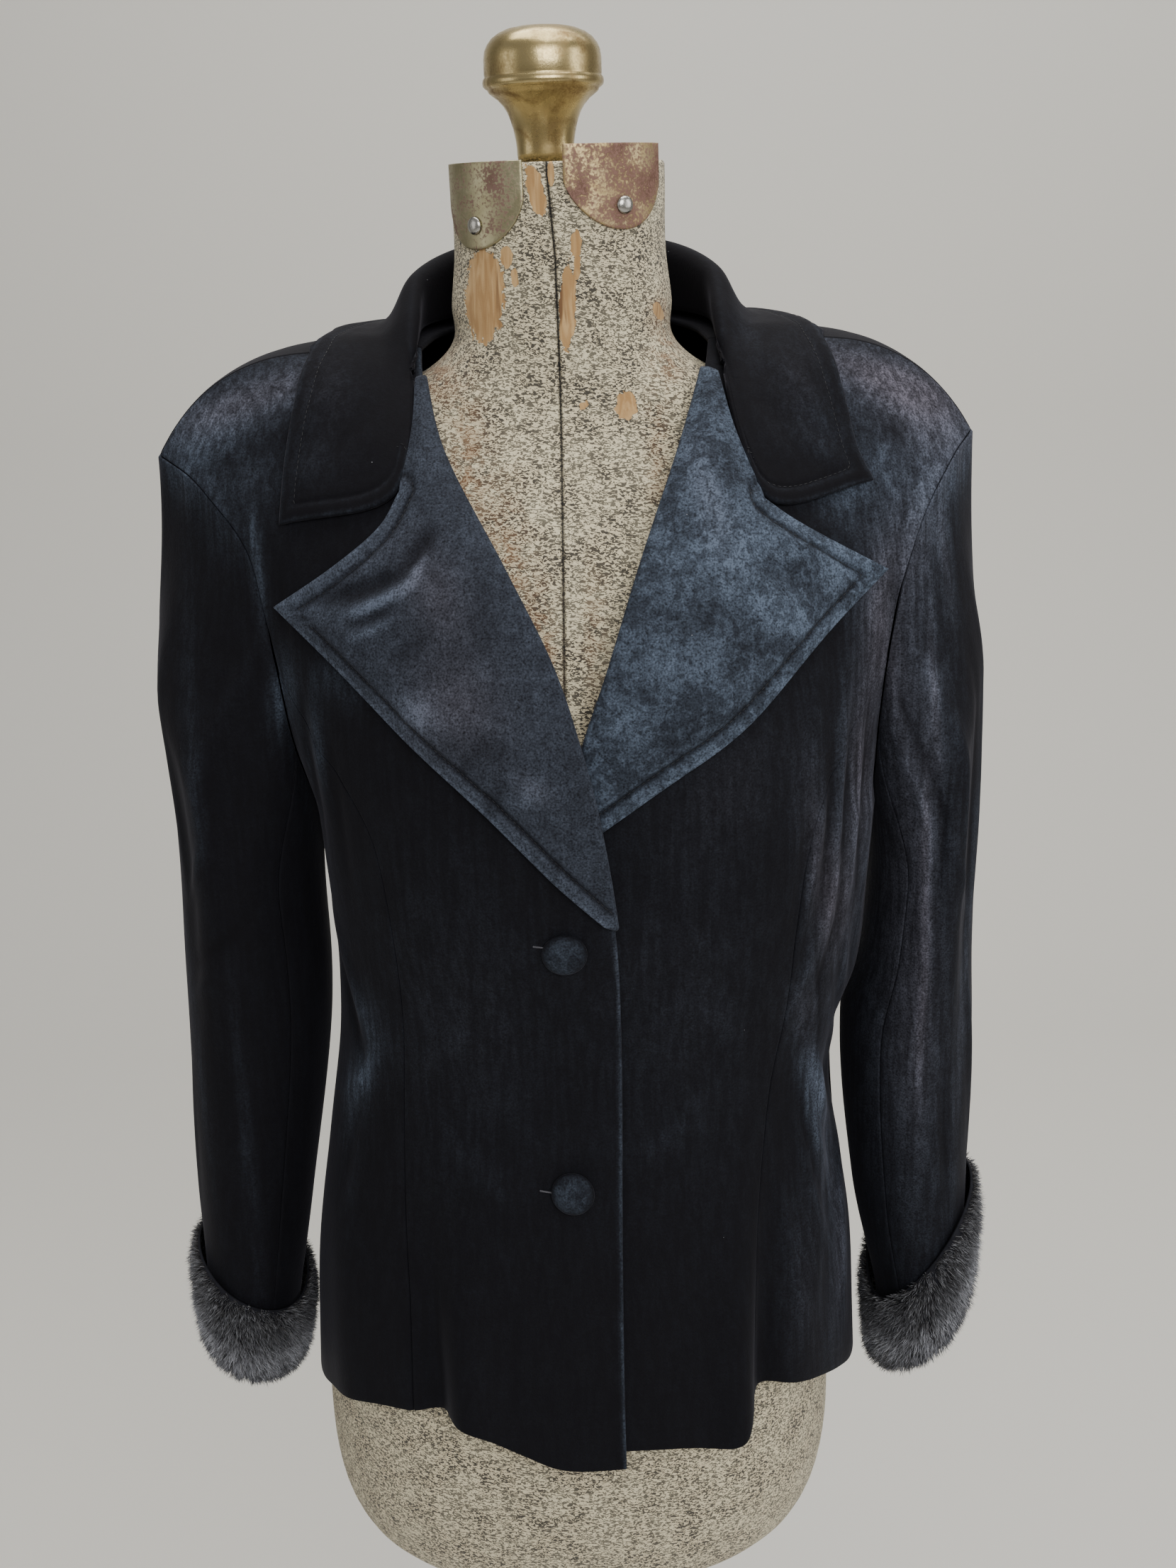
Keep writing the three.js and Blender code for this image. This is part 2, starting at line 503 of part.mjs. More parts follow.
function sleevePiece(name, side, firstStep, lastStep) {
  const halfSeam = SEAM / 2 / SLEEVE_SEAM_GIRTH;
  const first = firstStep / SLEEVE_STEPS_ROUND + halfSeam;
  const last = lastStep / SLEEVE_STEPS_ROUND - halfSeam;
  const geometry = wallGeometry(lastStep - firstStep, SLEEVE_STEPS_DOWN, SLEEVE_CLOTH, (across, down) => {
    const round = lerp(first, last, across);
    const read = (a, b) => sleevePoint(side, a, b);
    const around = read(round + NORMAL_STEP, down).sub(read(round - NORMAL_STEP, down));
    const above = Math.max(down - NORMAL_STEP, 0);
    const along = read(round, down + NORMAL_STEP).sub(read(round, above));
    const normal = around.cross(along).normalize().multiplyScalar(side.sign);
    if (down === 0) {
      // At the shoulder the seam's two edges share the body's normal
      const fromShoulder = Math.abs(round - Math.round(round));
      const shared = 1 - ease(fromShoulder / SHARED_RIM);
      normal.lerp(armholeEdge(side, round).normal, shared).normalize();
    }
    return { point: read(round, down), normal };
  });
  addPiece(name, geometry, velvet);
}

const SLEEVE_SEAM_STEP = (SLEEVE_STEPS_ROUND - UNDER_SLEEVE_STEPS) / 2;
for (const side of SIDES) {
  sleevePiece(`upper_sleeve_${side.name}`, side, -SLEEVE_SEAM_STEP, SLEEVE_SEAM_STEP);
  sleevePiece(`under_sleeve_${side.name}`, side, SLEEVE_SEAM_STEP, SLEEVE_SEAM_STEP + UNDER_SLEEVE_STEPS);
}

// Fur cuffs, closed rings round the sleeve ends
for (const side of SIDES) {
  const points = [];
  const faces = [];
  const sectionCount = FUR_SECTION.length;
  for (let i = 0; i < SLEEVE_STEPS_ROUND; i += 1) {
    const angle = 2 * Math.PI * i / SLEEVE_STEPS_ROUND;
    for (const { off, part } of FUR_SECTION) {
      points.push(sleeveRound(side, angle, cuffHeight(side, angle, part), off));
    }
  }
  for (let i = 0; i < SLEEVE_STEPS_ROUND; i += 1) {
    const next = (i + 1) % SLEEVE_STEPS_ROUND;
    for (let j = 0; j < sectionCount; j += 1) {
      const above = (j + 1) % sectionCount;
      const [a, b] = [i * sectionCount + j, next * sectionCount + j];
      const [c, d] = [next * sectionCount + above, i * sectionCount + above];
      faces.push(a, b, c, a, c, d);
    }
  }
  addPiece(`fur_cuff_${side.name}`, solidGeometry(points, faces), fur);
}

// Where a height on the roll line is, as a share of the way up the front's edge
const ROLL_SEARCH = { from: 0.3, halvings: 30 };

function upOfRoll(z) {
  let [low, high] = [ROLL_SEARCH.from, 1];
  for (let i = 0; i < ROLL_SEARCH.halvings; i += 1) {
    const middle = (low + high) / 2;
    if (columnAt(FRONT_ROWS, 'up', 'edgeZ', middle) < z) low = middle;
    else high = middle;
  }
  return (low + high) / 2;
}

// The place on a front that is "out" from the middle at the height z, found in small steps
const PLACE_SEARCH = { from: 0.4, step: 0.001, rounds: 20, mostAcross: 0.2, mostUp: 0.1 };

function placeOnFront(side, out, z) {
  const { step, rounds, mostAcross, mostUp } = PLACE_SEARCH;
  let [across, up] = [PLACE_SEARCH.from, upOfRoll(z)];
  const read = (a, b) => {
    const point = bodyPoint(FRONT_ROWS, side, a, b);
    return [(point.x - lean(point.z)) * side.sign - out, point.z - z];
  };
  for (let i = 0; i < rounds; i += 1) {
    const [missOut, missZ] = read(across, up);
    const [outA, zA] = read(across + step, up);
    const [outB, zB] = read(across, up + step);
    const [a, b] = [(outA - missOut) / step, (outB - missOut) / step];
    const [c, d] = [(zA - missZ) / step, (zB - missZ) / step];
    const size = a * d - b * c;
    across -= THREE.MathUtils.clamp((d * missOut - b * missZ) / size, -mostAcross, mostAcross);
    up = Math.min(up - THREE.MathUtils.clamp((a * missZ - c * missOut) / size, -mostUp, mostUp), 1);
  }
  return { across, up };
}

// Lapels, made from the points of the fronts, moved out
function lapelPoint(side, rows, across, at) {
  const roll = upOfRoll(columnAt(rows, 'at', 'roll', at));
  const edge = placeOnFront(side, columnAt(rows, 'at', 'out', at), columnAt(rows, 'at', 'z', at));
  const [a, b] = [edge.across * across, lerp(roll, edge.up, across)];
  const point = bodyPoint(FRONT_ROWS, side, a, b);
  const high = ease((point.z - LAPEL_BULGE_FROM) / (LAPEL_BULGE_TO - LAPEL_BULGE_FROM));
  const wide = Math.min(edge.across / LAPEL_NARROW, 1);
  const round = Math.sin(Math.PI * Math.min(across * LAPEL_BULGE_SKEW, 1));
  const swell = LAPEL_BULGE * round * high * wide;
  return point.addScaledVector(bodyNormal(FRONT_ROWS, side, a, b), LAPEL_EDGE_LIFT + swell);
}

// Sheet stations that land on the table's corners
const LAPEL_STATIONS = [0, 0.12, 0.24, 0.36, 0.46, 0.51, 0.56, 0.61, 0.66, 0.74, 0.82, 0.87, 0.92, 1];
const LAPEL_STEPS_ACROSS = 10;

function sheetWall(stations, stepsAcross, thickness, facing, read) {
  const sheet = stations.map((at) => evenColumns(stepsAcross).map((across) => read(across, at)));
  return wallGeometry(stepsAcross, stations.length - 1, thickness, (_, __, i, j) => {
    const row = sheet[j];
    const sideways = row[Math.min(i + 1, stepsAcross)].clone().sub(row[Math.max(i - 1, 0)]);
    const above = sheet[Math.min(j + 1, sheet.length - 1)][i].clone();
    const normal = sideways.cross(above.sub(sheet[Math.max(j - 1, 0)][i])).normalize();
    return { point: row[i], normal: normal.multiplyScalar(facing) };
  });
}

for (const side of SIDES) {
  const rows = side === RIGHT ? LAPEL_RIGHT : LAPEL_LEFT;
  const geometry = sheetWall(LAPEL_STATIONS, LAPEL_STEPS_ACROSS, CLOTH, side.sign,
    (across, at) => lapelPoint(side, rows, across, at));
  addPiece(`lapel_${side.name}`, geometry, lapelVelvet);
}

// Points of the body that the collar stays clear of
const SAMPLES = { steps: 30, from: 0.7, to: 0.9995 };
const bodySamples = [];
for (const side of SIDES) {
  for (const rows of [FRONT_ROWS, BACK_ROWS]) {
    for (const across of evenColumns(SAMPLES.steps)) {
      for (const share of evenColumns(SAMPLES.steps)) {
        const up = lerp(SAMPLES.from, SAMPLES.to, share);
        const normal = bodyNormal(rows, side, across, up);
        bodySamples.push({ point: bodyPoint(rows, side, across, up), normal });
      }
    }
  }
}

function keptClear(point, lift, snap) {
  let [nearest, distance] = [null, Infinity];
  for (const sample of bodySamples) {
    const away = sample.point.distanceToSquared(point);
    if (away < distance) [nearest, distance] = [sample, away];
  }
  const height = point.clone().sub(nearest.point).dot(nearest.normal);
  const share = height < lift ? 1 : snap;
  return point.addScaledVector(nearest.normal, (lift - height) * share);
}

// The collar: a stand round the neck, folded over at the top, with its fall lying on the shoulders
function collarRows(side) {
  const corners = (side === RIGHT ? LAPEL_RIGHT : LAPEL_LEFT).filter((row) => row.corner);
  const notch = corners[corners.length - 1];
  const place = placeOnFront(side, notch.out, notch.z);
  const notchY = bodyPoint(FRONT_ROWS, side, place.across, place.up).y;
  const tip = COLLAR_TIPS[side.name];
  const end = { ...COLLAR_END, fallOut: notch.out + PAST_NOTCH, fallY: notchY, fallZ: notch.z,
    edgeOut: tip.out, edgeY: tip.y, edgeZ: tip.z };
  return [...COLLAR_ROWS, end];
}

const collarTables = { right: collarRows(RIGHT), left: collarRows(LEFT) };

function collarPoint(across, around) {
  const side = around < 0 ? RIGHT : LEFT;
  const at = Math.abs(around);
  const column = (name) => columnAt(collarTables[side.name], 'at', name, at);
  const [fold, fall, edge] = ['fold', 'fall', 'edge'].map((name) => (
    placed(side, column(`${name}Out`), column(`${name}Y`), column(`${name}Z`))));
  const [round, stand] = [column('round'), column('stand')];
  const outward = fall.clone().sub(fold).setZ(0).normalize();
  const standTop = fold.clone().addScaledVector(outward, -round).add(new THREE.Vector3(0, 0, -round));
  const moved = (from, outwards, down) => (
    from.clone().addScaledVector(outward, outwards).add(new THREE.Vector3(0, 0, -down)));
  const neck = moved(standTop, round * COLLAR_ROLL.neckOut, stand);
  const past = moved(fold, round * COLLAR_ROLL.pastOut, round * COLLAR_ROLL.pastDown);
  const curve = new THREE.CatmullRomCurve3([neck, standTop, fold, past, fall, edge], false, 'centripetal');
  const point = curve.getPoint(across);
  if (across < COLLAR_FREE.across && at < COLLAR_FREE.at) return point;
  const onFall = ease((across - COLLAR_LIES.across) / COLLAR_LIES.acrossFade);
  const snap = ease((at - COLLAR_LIES.at) / COLLAR_LIES.atFade) * onFall;
  const ridge = COLLAR_RIDGE.lift * nearness(at - COLLAR_RIDGE.at, COLLAR_RIDGE.width);
  return keptClear(point, COLLAR_LIFT + ridge, snap);
}

const COLLAR_HALF_STATIONS = [0, 0.11, 0.22, 0.33, 0.44, 0.52, 0.6, 0.68, 0.76, 0.83, 0.89, 0.95, 1];
const rightHalf = COLLAR_HALF_STATIONS.slice(1).reverse().map((at) => -at);
const collarStations = [...rightHalf, ...COLLAR_HALF_STATIONS];
addPiece('collar', sheetWall(collarStations, COLLAR_STEPS_ACROSS, CLOTH, -1, collarPoint), velvet);

// A closed round solid about +Y, with its shared corners joined
function lathed(profile, segments) {
  const geometry = new THREE.LatheGeometry(profile.map(([r, h]) => new THREE.Vector2(r, h)), segments);
  geometry.deleteAttribute('normal');
  geometry.deleteAttribute('uv');
  return mergeVertices(geometry, JOIN_WITHIN);
}

// Covered buttons, flat at the back and domed in front
function button({ name, x, z, tilt, seat }) {
  const out = (x - lean(z)) * RIGHT.sign;
  const { across, up } = placeOnFront(RIGHT, out, z);
  const normal = bodyNormal(FRONT_ROWS, RIGHT, across, up);
  const mesh = addPiece(name, lathed(BUTTON_PROFILE, SEGMENTS.button), velvet);
  const tilted = normal.clone().applyAxisAngle(new THREE.Vector3(0, 0, 1), -rad(tilt));
  mesh.quaternion.setFromUnitVectors(new THREE.Vector3(0, 1, 0), tilted);
  const off = seat + BUTTON_FLAT * Math.sin(rad(tilt));
  mesh.position.copy(bodyPoint(FRONT_ROWS, RIGHT, across, up)).addScaledVector(normal, off);
}

BUTTONS.forEach(button);

const FORM_BOTTOM = FORM_ROWS[0].z;
const FORM_TOP = FORM_ROWS[FORM_ROWS.length - 1].z;

function formLean(z) {
  return lerp(FORM_LOW_LEAN, FORM_NECK_LEAN, ease((z - FORM_LEAN_FROM) / (FORM_LEAN_TO - FORM_LEAN_FROM)));
}

// The dress form: rounds from its underside to the top of its neck, closed at both ends
function formPoint(angle, z, off = 0) {
  const column = (name) => columnAt(FORM_ROWS, 'z', name, z);
  const half = column('half') + off;
  const deep = (Math.sin(angle) < 0 ? column('front') : column('back')) + off;
  return new THREE.Vector3(formLean(z) + half * cosine(angle), deep * sine(angle), z);
}

function formGeometry() {
  const points = [];
  const faces = [];
  // The heights are closer together round the underside
  const even = evenColumns(FORM_STEPS_UP).slice(FORM_STEPS_UNDER);
  const heights = [...FORM_UNDERSIDE, ...even.map((share) => lerp(FORM_BOTTOM, FORM_TOP, share))];
  for (const z of heights) {
    for (let i = 0; i < FORM_STEPS_ROUND; i += 1) {
      points.push(formPoint(2 * Math.PI * i / FORM_STEPS_ROUND, z));
    }
  }
  for (let j = 0; j < heights.length - 1; j += 1) {
    for (let i = 0; i < FORM_STEPS_ROUND; i += 1) {
      const next = (i + 1) % FORM_STEPS_ROUND;
      const [a, b] = [j * FORM_STEPS_ROUND + i, j * FORM_STEPS_ROUND + next];
      faces.push(a, b, b + FORM_STEPS_ROUND, a, b + FORM_STEPS_ROUND, a + FORM_STEPS_ROUND);
    }
  }
  const last = (heights.length - 1) * FORM_STEPS_ROUND;
  points.push(new THREE.Vector3(formLean(FORM_BOTTOM), 0, FORM_BOTTOM));
  points.push(new THREE.Vector3(formLean(FORM_TOP), 0, FORM_TOP));
  for (let i = 0; i < FORM_STEPS_ROUND; i += 1) {
    const next = (i + 1) % FORM_STEPS_ROUND;
    faces.push(points.length - 2, next, i);
    faces.push(points.length - 1, last + i, last + next);
  }
  return solidGeometry(points, faces);
}

addPiece('form_torso', formGeometry(), tweed);

// Curved plates on the front of the neck, with a round lower end, and their rivets
for (const { name, middle, top, bottom } of PLATES) {
  const centre = -Math.acos(signedPower(middle / FORM_NECK_HALF, 1 / SQUARENESS));
  const spread = PLATE.halfWidth / FORM_NECK_HALF;
  const read = (across, at) => {
    const sideways = (across * 2 - 1);
    const low = bottom + PLATE.round * (1 - Math.sqrt(1 - (sideways * PLATE.tongue) ** 2));
    const z = lerp(low, top, at);
    return formPoint(centre + sideways * spread, Math.min(z, FORM_TOP), CLEAR + PLATE.thick).setZ(z);
  };
  const plate = sheetWall(PLATE.stations, PLATE.steps, PLATE.thick, 1, read);
  addPiece(`neck_plate_${name}`, plate, plateSteel);
  const mesh = addPiece(`rivet_${name}`, lathed(RIVET_PROFILE, SEGMENTS.rivet), poleSteel);
  const z = bottom + RIVET_ABOVE;
  const seat = formPoint(centre, z, CLEAR + PLATE.thick + CLEAR);
  const beside = formPoint(centre + PLAN_STEP, z).sub(formPoint(centre - PLAN_STEP, z));
  const normal = new THREE.Vector3(beside.y, -beside.x, 0).normalize();
  mesh.quaternion.setFromUnitVectors(new THREE.Vector3(0, 1, 0), normal);
  mesh.position.copy(seat);
}

// The knob, foot, socket and pole, all turned about the upright axis
function turned(name, profile, z, segments, material) {
  const geometry = lathed(profile, segments);
  geometry.rotateX(Math.PI / 2);
  addPiece(name, geometry, material).position.z = z;
}

const topOf = (profile) => profile[profile.length - 1][1];
const socketBottom = topOf(FOOT_PROFILE) + SEAM;
const poleBottom = socketBottom + topOf(SOCKET_PROFILE) + SEAM;
const poleLength = FORM_BOTTOM - SEAM - poleBottom;
const poleProfile = [[0, 0], [POLE_RADIUS, 0], [POLE_RADIUS, poleLength], [0, poleLength]];
turned('knob', KNOB_PROFILE, FORM_TOP + SEAM, SEGMENTS.knob, brass);
turned('foot', FOOT_PROFILE, 0, SEGMENTS.foot, footIron);
turned('socket', SOCKET_PROFILE, socketBottom, SEGMENTS.pole, poleSteel);
turned('pole', poleProfile, poleBottom, SEGMENTS.pole, poleSteel);

export default model;
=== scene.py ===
"""A fitted velvet jacket with fur cuffs, worn by a limbless dress form on a pole and a round foot.

Metres, +Z up, and the front faces -Y. The wearer's right side is at -X. The tables are in millimetres,
and "out" is measured outwards from the jacket's middle.
"""

import math

import bpy
import numpy as np
from mathutils import Matrix, Vector
from mathutils.bvhtree import BVHTree
from mathutils.kdtree import KDTree


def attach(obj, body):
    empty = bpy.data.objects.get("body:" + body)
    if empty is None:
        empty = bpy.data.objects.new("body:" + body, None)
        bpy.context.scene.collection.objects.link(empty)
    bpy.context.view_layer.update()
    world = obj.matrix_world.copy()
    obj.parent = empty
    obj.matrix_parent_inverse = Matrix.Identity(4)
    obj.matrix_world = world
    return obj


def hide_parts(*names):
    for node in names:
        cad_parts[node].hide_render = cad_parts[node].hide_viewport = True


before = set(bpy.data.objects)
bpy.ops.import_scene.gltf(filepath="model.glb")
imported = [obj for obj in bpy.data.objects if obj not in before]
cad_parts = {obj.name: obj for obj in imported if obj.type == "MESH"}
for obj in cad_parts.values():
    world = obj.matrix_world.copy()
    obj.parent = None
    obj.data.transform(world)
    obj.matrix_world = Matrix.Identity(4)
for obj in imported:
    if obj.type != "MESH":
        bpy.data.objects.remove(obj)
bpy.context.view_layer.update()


# The body of the jacket. Six panels of near-black velvet are cut on a general fitted block and sewn
# together at the princess seams, the sides, the shoulders and the middle of the back. The seams are
# pressed open, so each panel's edge turns in, and the wearer's right front laps over the left one.
MM = 0.001
CLOTH = 2.4
VELVET_THICKNESS = 1.5
SEAM = 0.3
CLEAR = 0.5
LEAN, LEAN_FROM, LEAN_TO = 8, 620, 1050
SQUARENESS = 0.86
UNDERLAP_DEPTH, UNDERLAP_DEPTH_AT_LAPEL = 3.8, 8.9
LAPEL_UNDERLAP_FROM, LAPEL_UNDERLAP_TO = 890, 945
UNDERLAP_END, UNDERLAP_END_FADE = 1075, 81
UNDERLAP_OUT, UNDERLAP_FADE = 26, 100
UNDERARM = 0.62
SIDE_FRONT_TOP = 0.81
PANEL_LENGTH = 800
RIGHT = {"name": "right", "sign": -1}
LEFT = {"name": "left", "sign": 1}
SIDES = [RIGHT, LEFT]


NAMED = {"right": RIGHT, "left": LEFT}


def table(names, text):
    """Reads a row from each line of the text. Its words are numbers or names."""
    def read(word):
        return NAMED.get(word) or (word if word.isalpha() else float(word))

    columns = names.split()
    return [dict(zip(columns, map(read, line.split()))) for line in text.strip().splitlines()]


BODY_COLUMNS = "up edge_right edge_left edge_y edge_z out_right out_left out_y out_z turn droop "
FRONT_ROWS = table(BODY_COLUMNS + "princess corner", """
    0 -22 -22 -160 600 172 172 5 579 90 1 .585
    .13 -22 -22 -152 680 166 168 3 668 90 1 .6
    .24 -22 -22 -142 745 156 158 1 740 90 1 .645
    .35 -22 -22 -134 808 147 155 0 806 90 1 .68
    .44 -21 -21 -137 862 145 166 -1 856 90 1 .68
    .53 -18 -17 -147 918 147 169 -3 905 90 1 .69
    .62 -9 -7 -152 980 151 171 -5 953 90 1 .72 out
    .68 0 3 -150 1020 153 168 -36 972 80 1 .78
    .75 13 18 -141 1062 158 166 -58 1008 72 1.1 .9
    .83 36 35 -120 1108 163 170 -68 1058 62 1.3 1.032
    .91 66 58 -80 1162 174 184 -62 1112 50 1.8 1.1
    .965 76 72 -45 1198 203 206 -38 1146 42 3 1.1
    1 78 76 -22 1212 226 221 -14 1158 36 4.5 1.1
""")
BACK_ROWS = table(BODY_COLUMNS + "corner", """
    0 0 0 132 588 172 172 5 579 90 1
    .13 0 0 117 678 166 168 3 668 90 1
    .24 0 0 100 745 156 158 1 740 90 1
    .35 0 0 86 808 147 155 0 806 90 1
    .44 0 0 90 862 145 166 -1 856 90 1
    .53 0 0 100 920 147 169 -3 905 90 1
    .62 0 0 110 985 151 171 -5 953 90 1 out
    .68 0 0 115 1035 154 168 26 970 80 1
    .75 0 0 117 1092 159 166 50 1008 72 1.2
    .83 0 0 109 1156 167 172 62 1062 62 1.6
    .9 0 0 66 1222 184 190 56 1112 54 2.2 edge
    .95 46 45 52 1221 209 209 33 1146 46 3
    .98 70 69 12 1217 225 220 7 1161 40 4
    1 78 76 -22 1212 226 221 -14 1158 36 4.5
""")
NAMED.update(front=FRONT_ROWS, back=BACK_ROWS)

HEM_RIGHT = table("out z", """
    -30 597
    15 598
    40 609
    62 621
    85 624
    116 621
    150 607
    173 583
""")
HEM_LEFT = table("out z", """
    -30 608
    49 605
    88 604
    104 625
    122 624
    153 606
    173 583
""")
HEM_BACK = table("out z", """
    -10 586
    55 590
    100 597
    140 592
    173 583
""")
HEM_BLEND = 0.26

# Folds run upright, swelling by "swell" at "out" from the middle, between the heights "base" and "top"
FOLDS = table("rows side out width swell base top", """
    front right 66 15 6 430 780
    front right 87 10 -11 430 790
    front right 138 13 5 440 830
    front left 87 13 7 420 800
    front left 106 10 -12 420 820
    front left 132 9 4 560 960
    front left 150 8 -4 620 940
    back right 58 18 7 420 800
    back right 92 14 -8 430 780
    back right 134 15 5 440 800
    back left 48 16 5 440 760
    back left 84 15 -7 420 800
    back left 122 16 7 430 820
""")

# Creases are soft ridges and, where "lift" is below zero, troughs from one point to another
CREASES = table("rows side a z_a b z_b width lift", """
    front left 153 1000 144 884 2.6 1.9
    front left 148 1046 139 905 2.4 -1.5
    front left 143 1060 134 876 2.8 1.8
    front left 136 1030 127 880 2.6 -1.4
    front left 131 990 119 900 3 1.5
    front left 123 1000 112 880 3.2 -1.1
    front left 159 1040 153 905 2.4 -1.6
    front left 163 1000 158 860 2.4 1.5
    front left 142 946 116 852 3 1.8
    front left 147 930 124 838 2.6 -1.5
    front left 149 905 150 822 2.6 1.8
    front left 129 830 151 735 2.8 2.2
    front left 136 826 154 750 2 -1.5
    front left 141 846 155 775 2.6 2.2
    front left 123 812 150 712 3 1.8
    front left 120 806 148 690 2.6 -1.5
    front left 117 798 152 672 3.4 1.6
    front left 104 790 132 640 4 1.1
    front left 158 760 157 620 2.8 1.3
    front left 126 1078 122 980 4 1.4
    front right 171 1140 164 1068 2.4 1.7
    front right 158 1120 152 1050 3 -1.2
    front right 141 1062 136 960 3.4 1.7
    front right 148 1040 143 930 3 -1.6
    front right 133 1030 126 915 4 -1.2
    front right 143 905 118 830 4.2 1.8
    front right 140 880 122 806 3.4 -1.7
    front right 108 842 142 782 4.6 1.5
    front right 128 796 146 720 4.2 -1.4
    front right 60 860 96 826 7 1.1
    front right 30 748 84 800 8 1.2
    front left 18 770 74 812 8 1.2
    front left 40 880 92 850 8 1
    front right 196 1150 176 1088 5 1.3
    front left 190 1150 174 1080 5 1.4
    front left 178 1136 168 1060 4 -1.2
    back right 148 985 60 1010 6 1.8
    back right 146 960 78 968 5 -1.6
    back right 142 930 96 905 5 1.7
    back right 140 880 52 848 5.5 2.1
    back right 138 862 44 826 5 -2
    back right 140 838 66 800 5.5 1.9
    back right 12 1120 10 1010 5 1.3
    back right 166 1110 132 1010 5.5 1.8
    back right 176 1096 146 1006 4.5 -1.5
    back left 162 988 72 1004 6 1.6
    back left 164 955 90 950 5 -1.7
    back left 160 900 70 862 5.5 2
    back left 152 872 40 838 5 -1.9
    back left 146 846 58 806 5.5 1.8
    back left 170 1104 138 1006 5.5 1.7
    back left 30 1090 16 985 5.5 1.2
""")

# Painted sheen: where the pile is painted as catching the light, seen from the front and from the back.
# "warm" turns the painted highlight plum-grey, and a value below zero takes painted sheen away
FRONT_MARKS = table("x z wide tall turn nap warm", """
    -158 1190 60 12 17 .42 .7
    -186 1172 26 12 20 .4 .1
    -201 1152 14 16 28 .26 0
    -160 1148 28 14 12 .12 .1
    -174 1122 18 22 10 .07 0
    -160 1104 4 36 4 .12 0
    -151 1034 7 22 -8 .3 0
    -136 1004 7 26 -8 .14 0
    -116 1050 14 12 0 .12 0
    -140 950 8 60 4 .06 .1
    -122 812 8 26 -20 .26 0
    -134 770 7 40 -6 .1 .1
    -116 850 12 16 0 .12 0
    -60 870 50 90 0 .055 .3
    60 880 46 100 0 .055 .3
    84 1000 30 40 -20 .05 .4
    178 1190 60 12 -20 .42 .9
    196 1168 42 16 -22 .4 .5
    214 1146 18 18 -30 .36 .2
    170 1142 30 16 -10 .32 0
    196 1120 16 22 -8 .28 .1
    180 1098 18 26 -8 .3 .3
    150 1130 12 18 0 .16 0
    181 1164 11 6 -20 -.3 0
    190 1143 8 9 0 -.26 0
    160 1146 10 6 0 -.18 0
    170 1056 12 44 4 .3 .7
    160 990 11 50 4 .28 .8
    150 915 12 46 4 .22 .7
    134 940 10 70 6 .15 .7
    130 850 12 28 10 .16 .5
    138 796 8 26 12 .38 .1
    149 735 9 44 8 .24 .3
    154 665 8 50 -4 .18 .5
    130 680 14 60 0 .07 .4
    210 1092 4 34 8 .2 .3
    203 1018 3 52 4 .3 .3
    200.5 930 3 60 1 .28 .3
    201 830 4 60 -1 .18 .3
    229 830 4 120 -3 .18 .2
    190 960 22 170 0 .2 .5
    200 800 26 130 0 .12 .4
    -207 1010 6 90 -2 .06 .1
    -226 840 4 110 3 .08 .1
    -196 760 4 90 0 .05 .1
""")
BACK_MARKS = table("x z wide tall turn nap warm", """
    -120 1140 60 30 14 .34 .6
    128 1138 60 30 -14 .36 .6
    -60 1176 50 14 6 .16 .5
    64 1176 50 14 -6 .18 .5
    -96 1040 34 50 8 .16 .3
    96 1030 34 54 -8 .18 .3
    -140 990 16 60 4 .2 .4
    150 985 16 60 -4 .22 .5
    0 1040 40 120 0 .05 .3
    -100 856 44 26 12 .26 .1
    98 850 44 26 -12 .28 .1
    0 840 60 60 0 .07 .2
    -60 700 14 80 0 .2 .2
    -134 690 12 80 0 .18 .3
    52 690 14 80 0 .16 .2
    124 690 14 80 0 .22 .3
    -205 1080 22 60 0 .12 .3
    205 1080 22 60 0 .14 .3
    -204 890 20 110 0 .1 .3
    206 890 20 110 0 .12 .3
    -206 730 14 70 0 .08 .2
    208 730 14 70 0 .1 .2
""")
GROUND_PAINTED_SHEEN = 0.016


def ease(value):
    value = np.clip(value, 0, 1)
    return value * value * (3 - 2 * value)


def lerp(low, high, share):
    return low + (high - low) * share


def signed_power(value, power):
    return np.sign(value) * np.abs(value) ** power


def sine(angle):
    return signed_power(np.sin(angle), SQUARENESS)


def cosine(angle):
    return signed_power(np.cos(angle), SQUARENESS)


def lean(z):
    return LEAN * ease((z - LEAN_FROM) / (LEAN_TO - LEAN_FROM))


def placed(side, out, y, z):
    return np.stack(np.broadcast_arrays(lean(z) + side["sign"] * out, y, z), axis=-1).astype(float)


def column_at(rows, key, column, at):
    """A smooth curve through one column of a table, which breaks at a row marked as a corner."""
    keys = np.array([row[key] for row in rows], float)
    values = np.array([row[column] for row in rows], float)
    marks = [row.get("corner") or "" for row in rows]
    breaks = np.array([mark == "all" or bool(mark) and column.startswith(mark) for mark in marks])
    breaks[[0, -1]] = True
    chords = np.diff(values) / np.diff(keys)
    across = np.concatenate([[0], (values[2:] - values[:-2]) / (keys[2:] - keys[:-2]), [0]])
    slope_low = np.where(breaks[:-1], chords, across[:-1])
    slope_high = np.where(breaks[1:], chords, across[1:])
    at = np.asarray(at, float)
    low = np.clip(np.searchsorted(keys, at, side="left") - 1, 0, len(keys) - 2)
    span = keys[low + 1] - keys[low]
    t = (at - keys[low]) / span
    rise = 3 * t ** 2 - 2 * t ** 3
    chord_part = (1 - rise) * values[low] + rise * values[low + 1]
    low_part = (t ** 3 - 2 * t ** 2 + t) * span * slope_low[low]
    return chord_part + low_part + (t ** 3 - t ** 2) * span * slope_high[low]


def hem_height(rows, side, out):
    if rows is BACK_ROWS:
        return column_at(HEM_BACK, "out", "z", out)
    return column_at(HEM_RIGHT if side is RIGHT else HEM_LEFT, "out", "z", out)


def fullness(fold, z):
    rise = np.clip((z - fold["base"]) / (fold["top"] - fold["base"]), 0, 1)
    return np.sin(np.pi * rise) ** 2


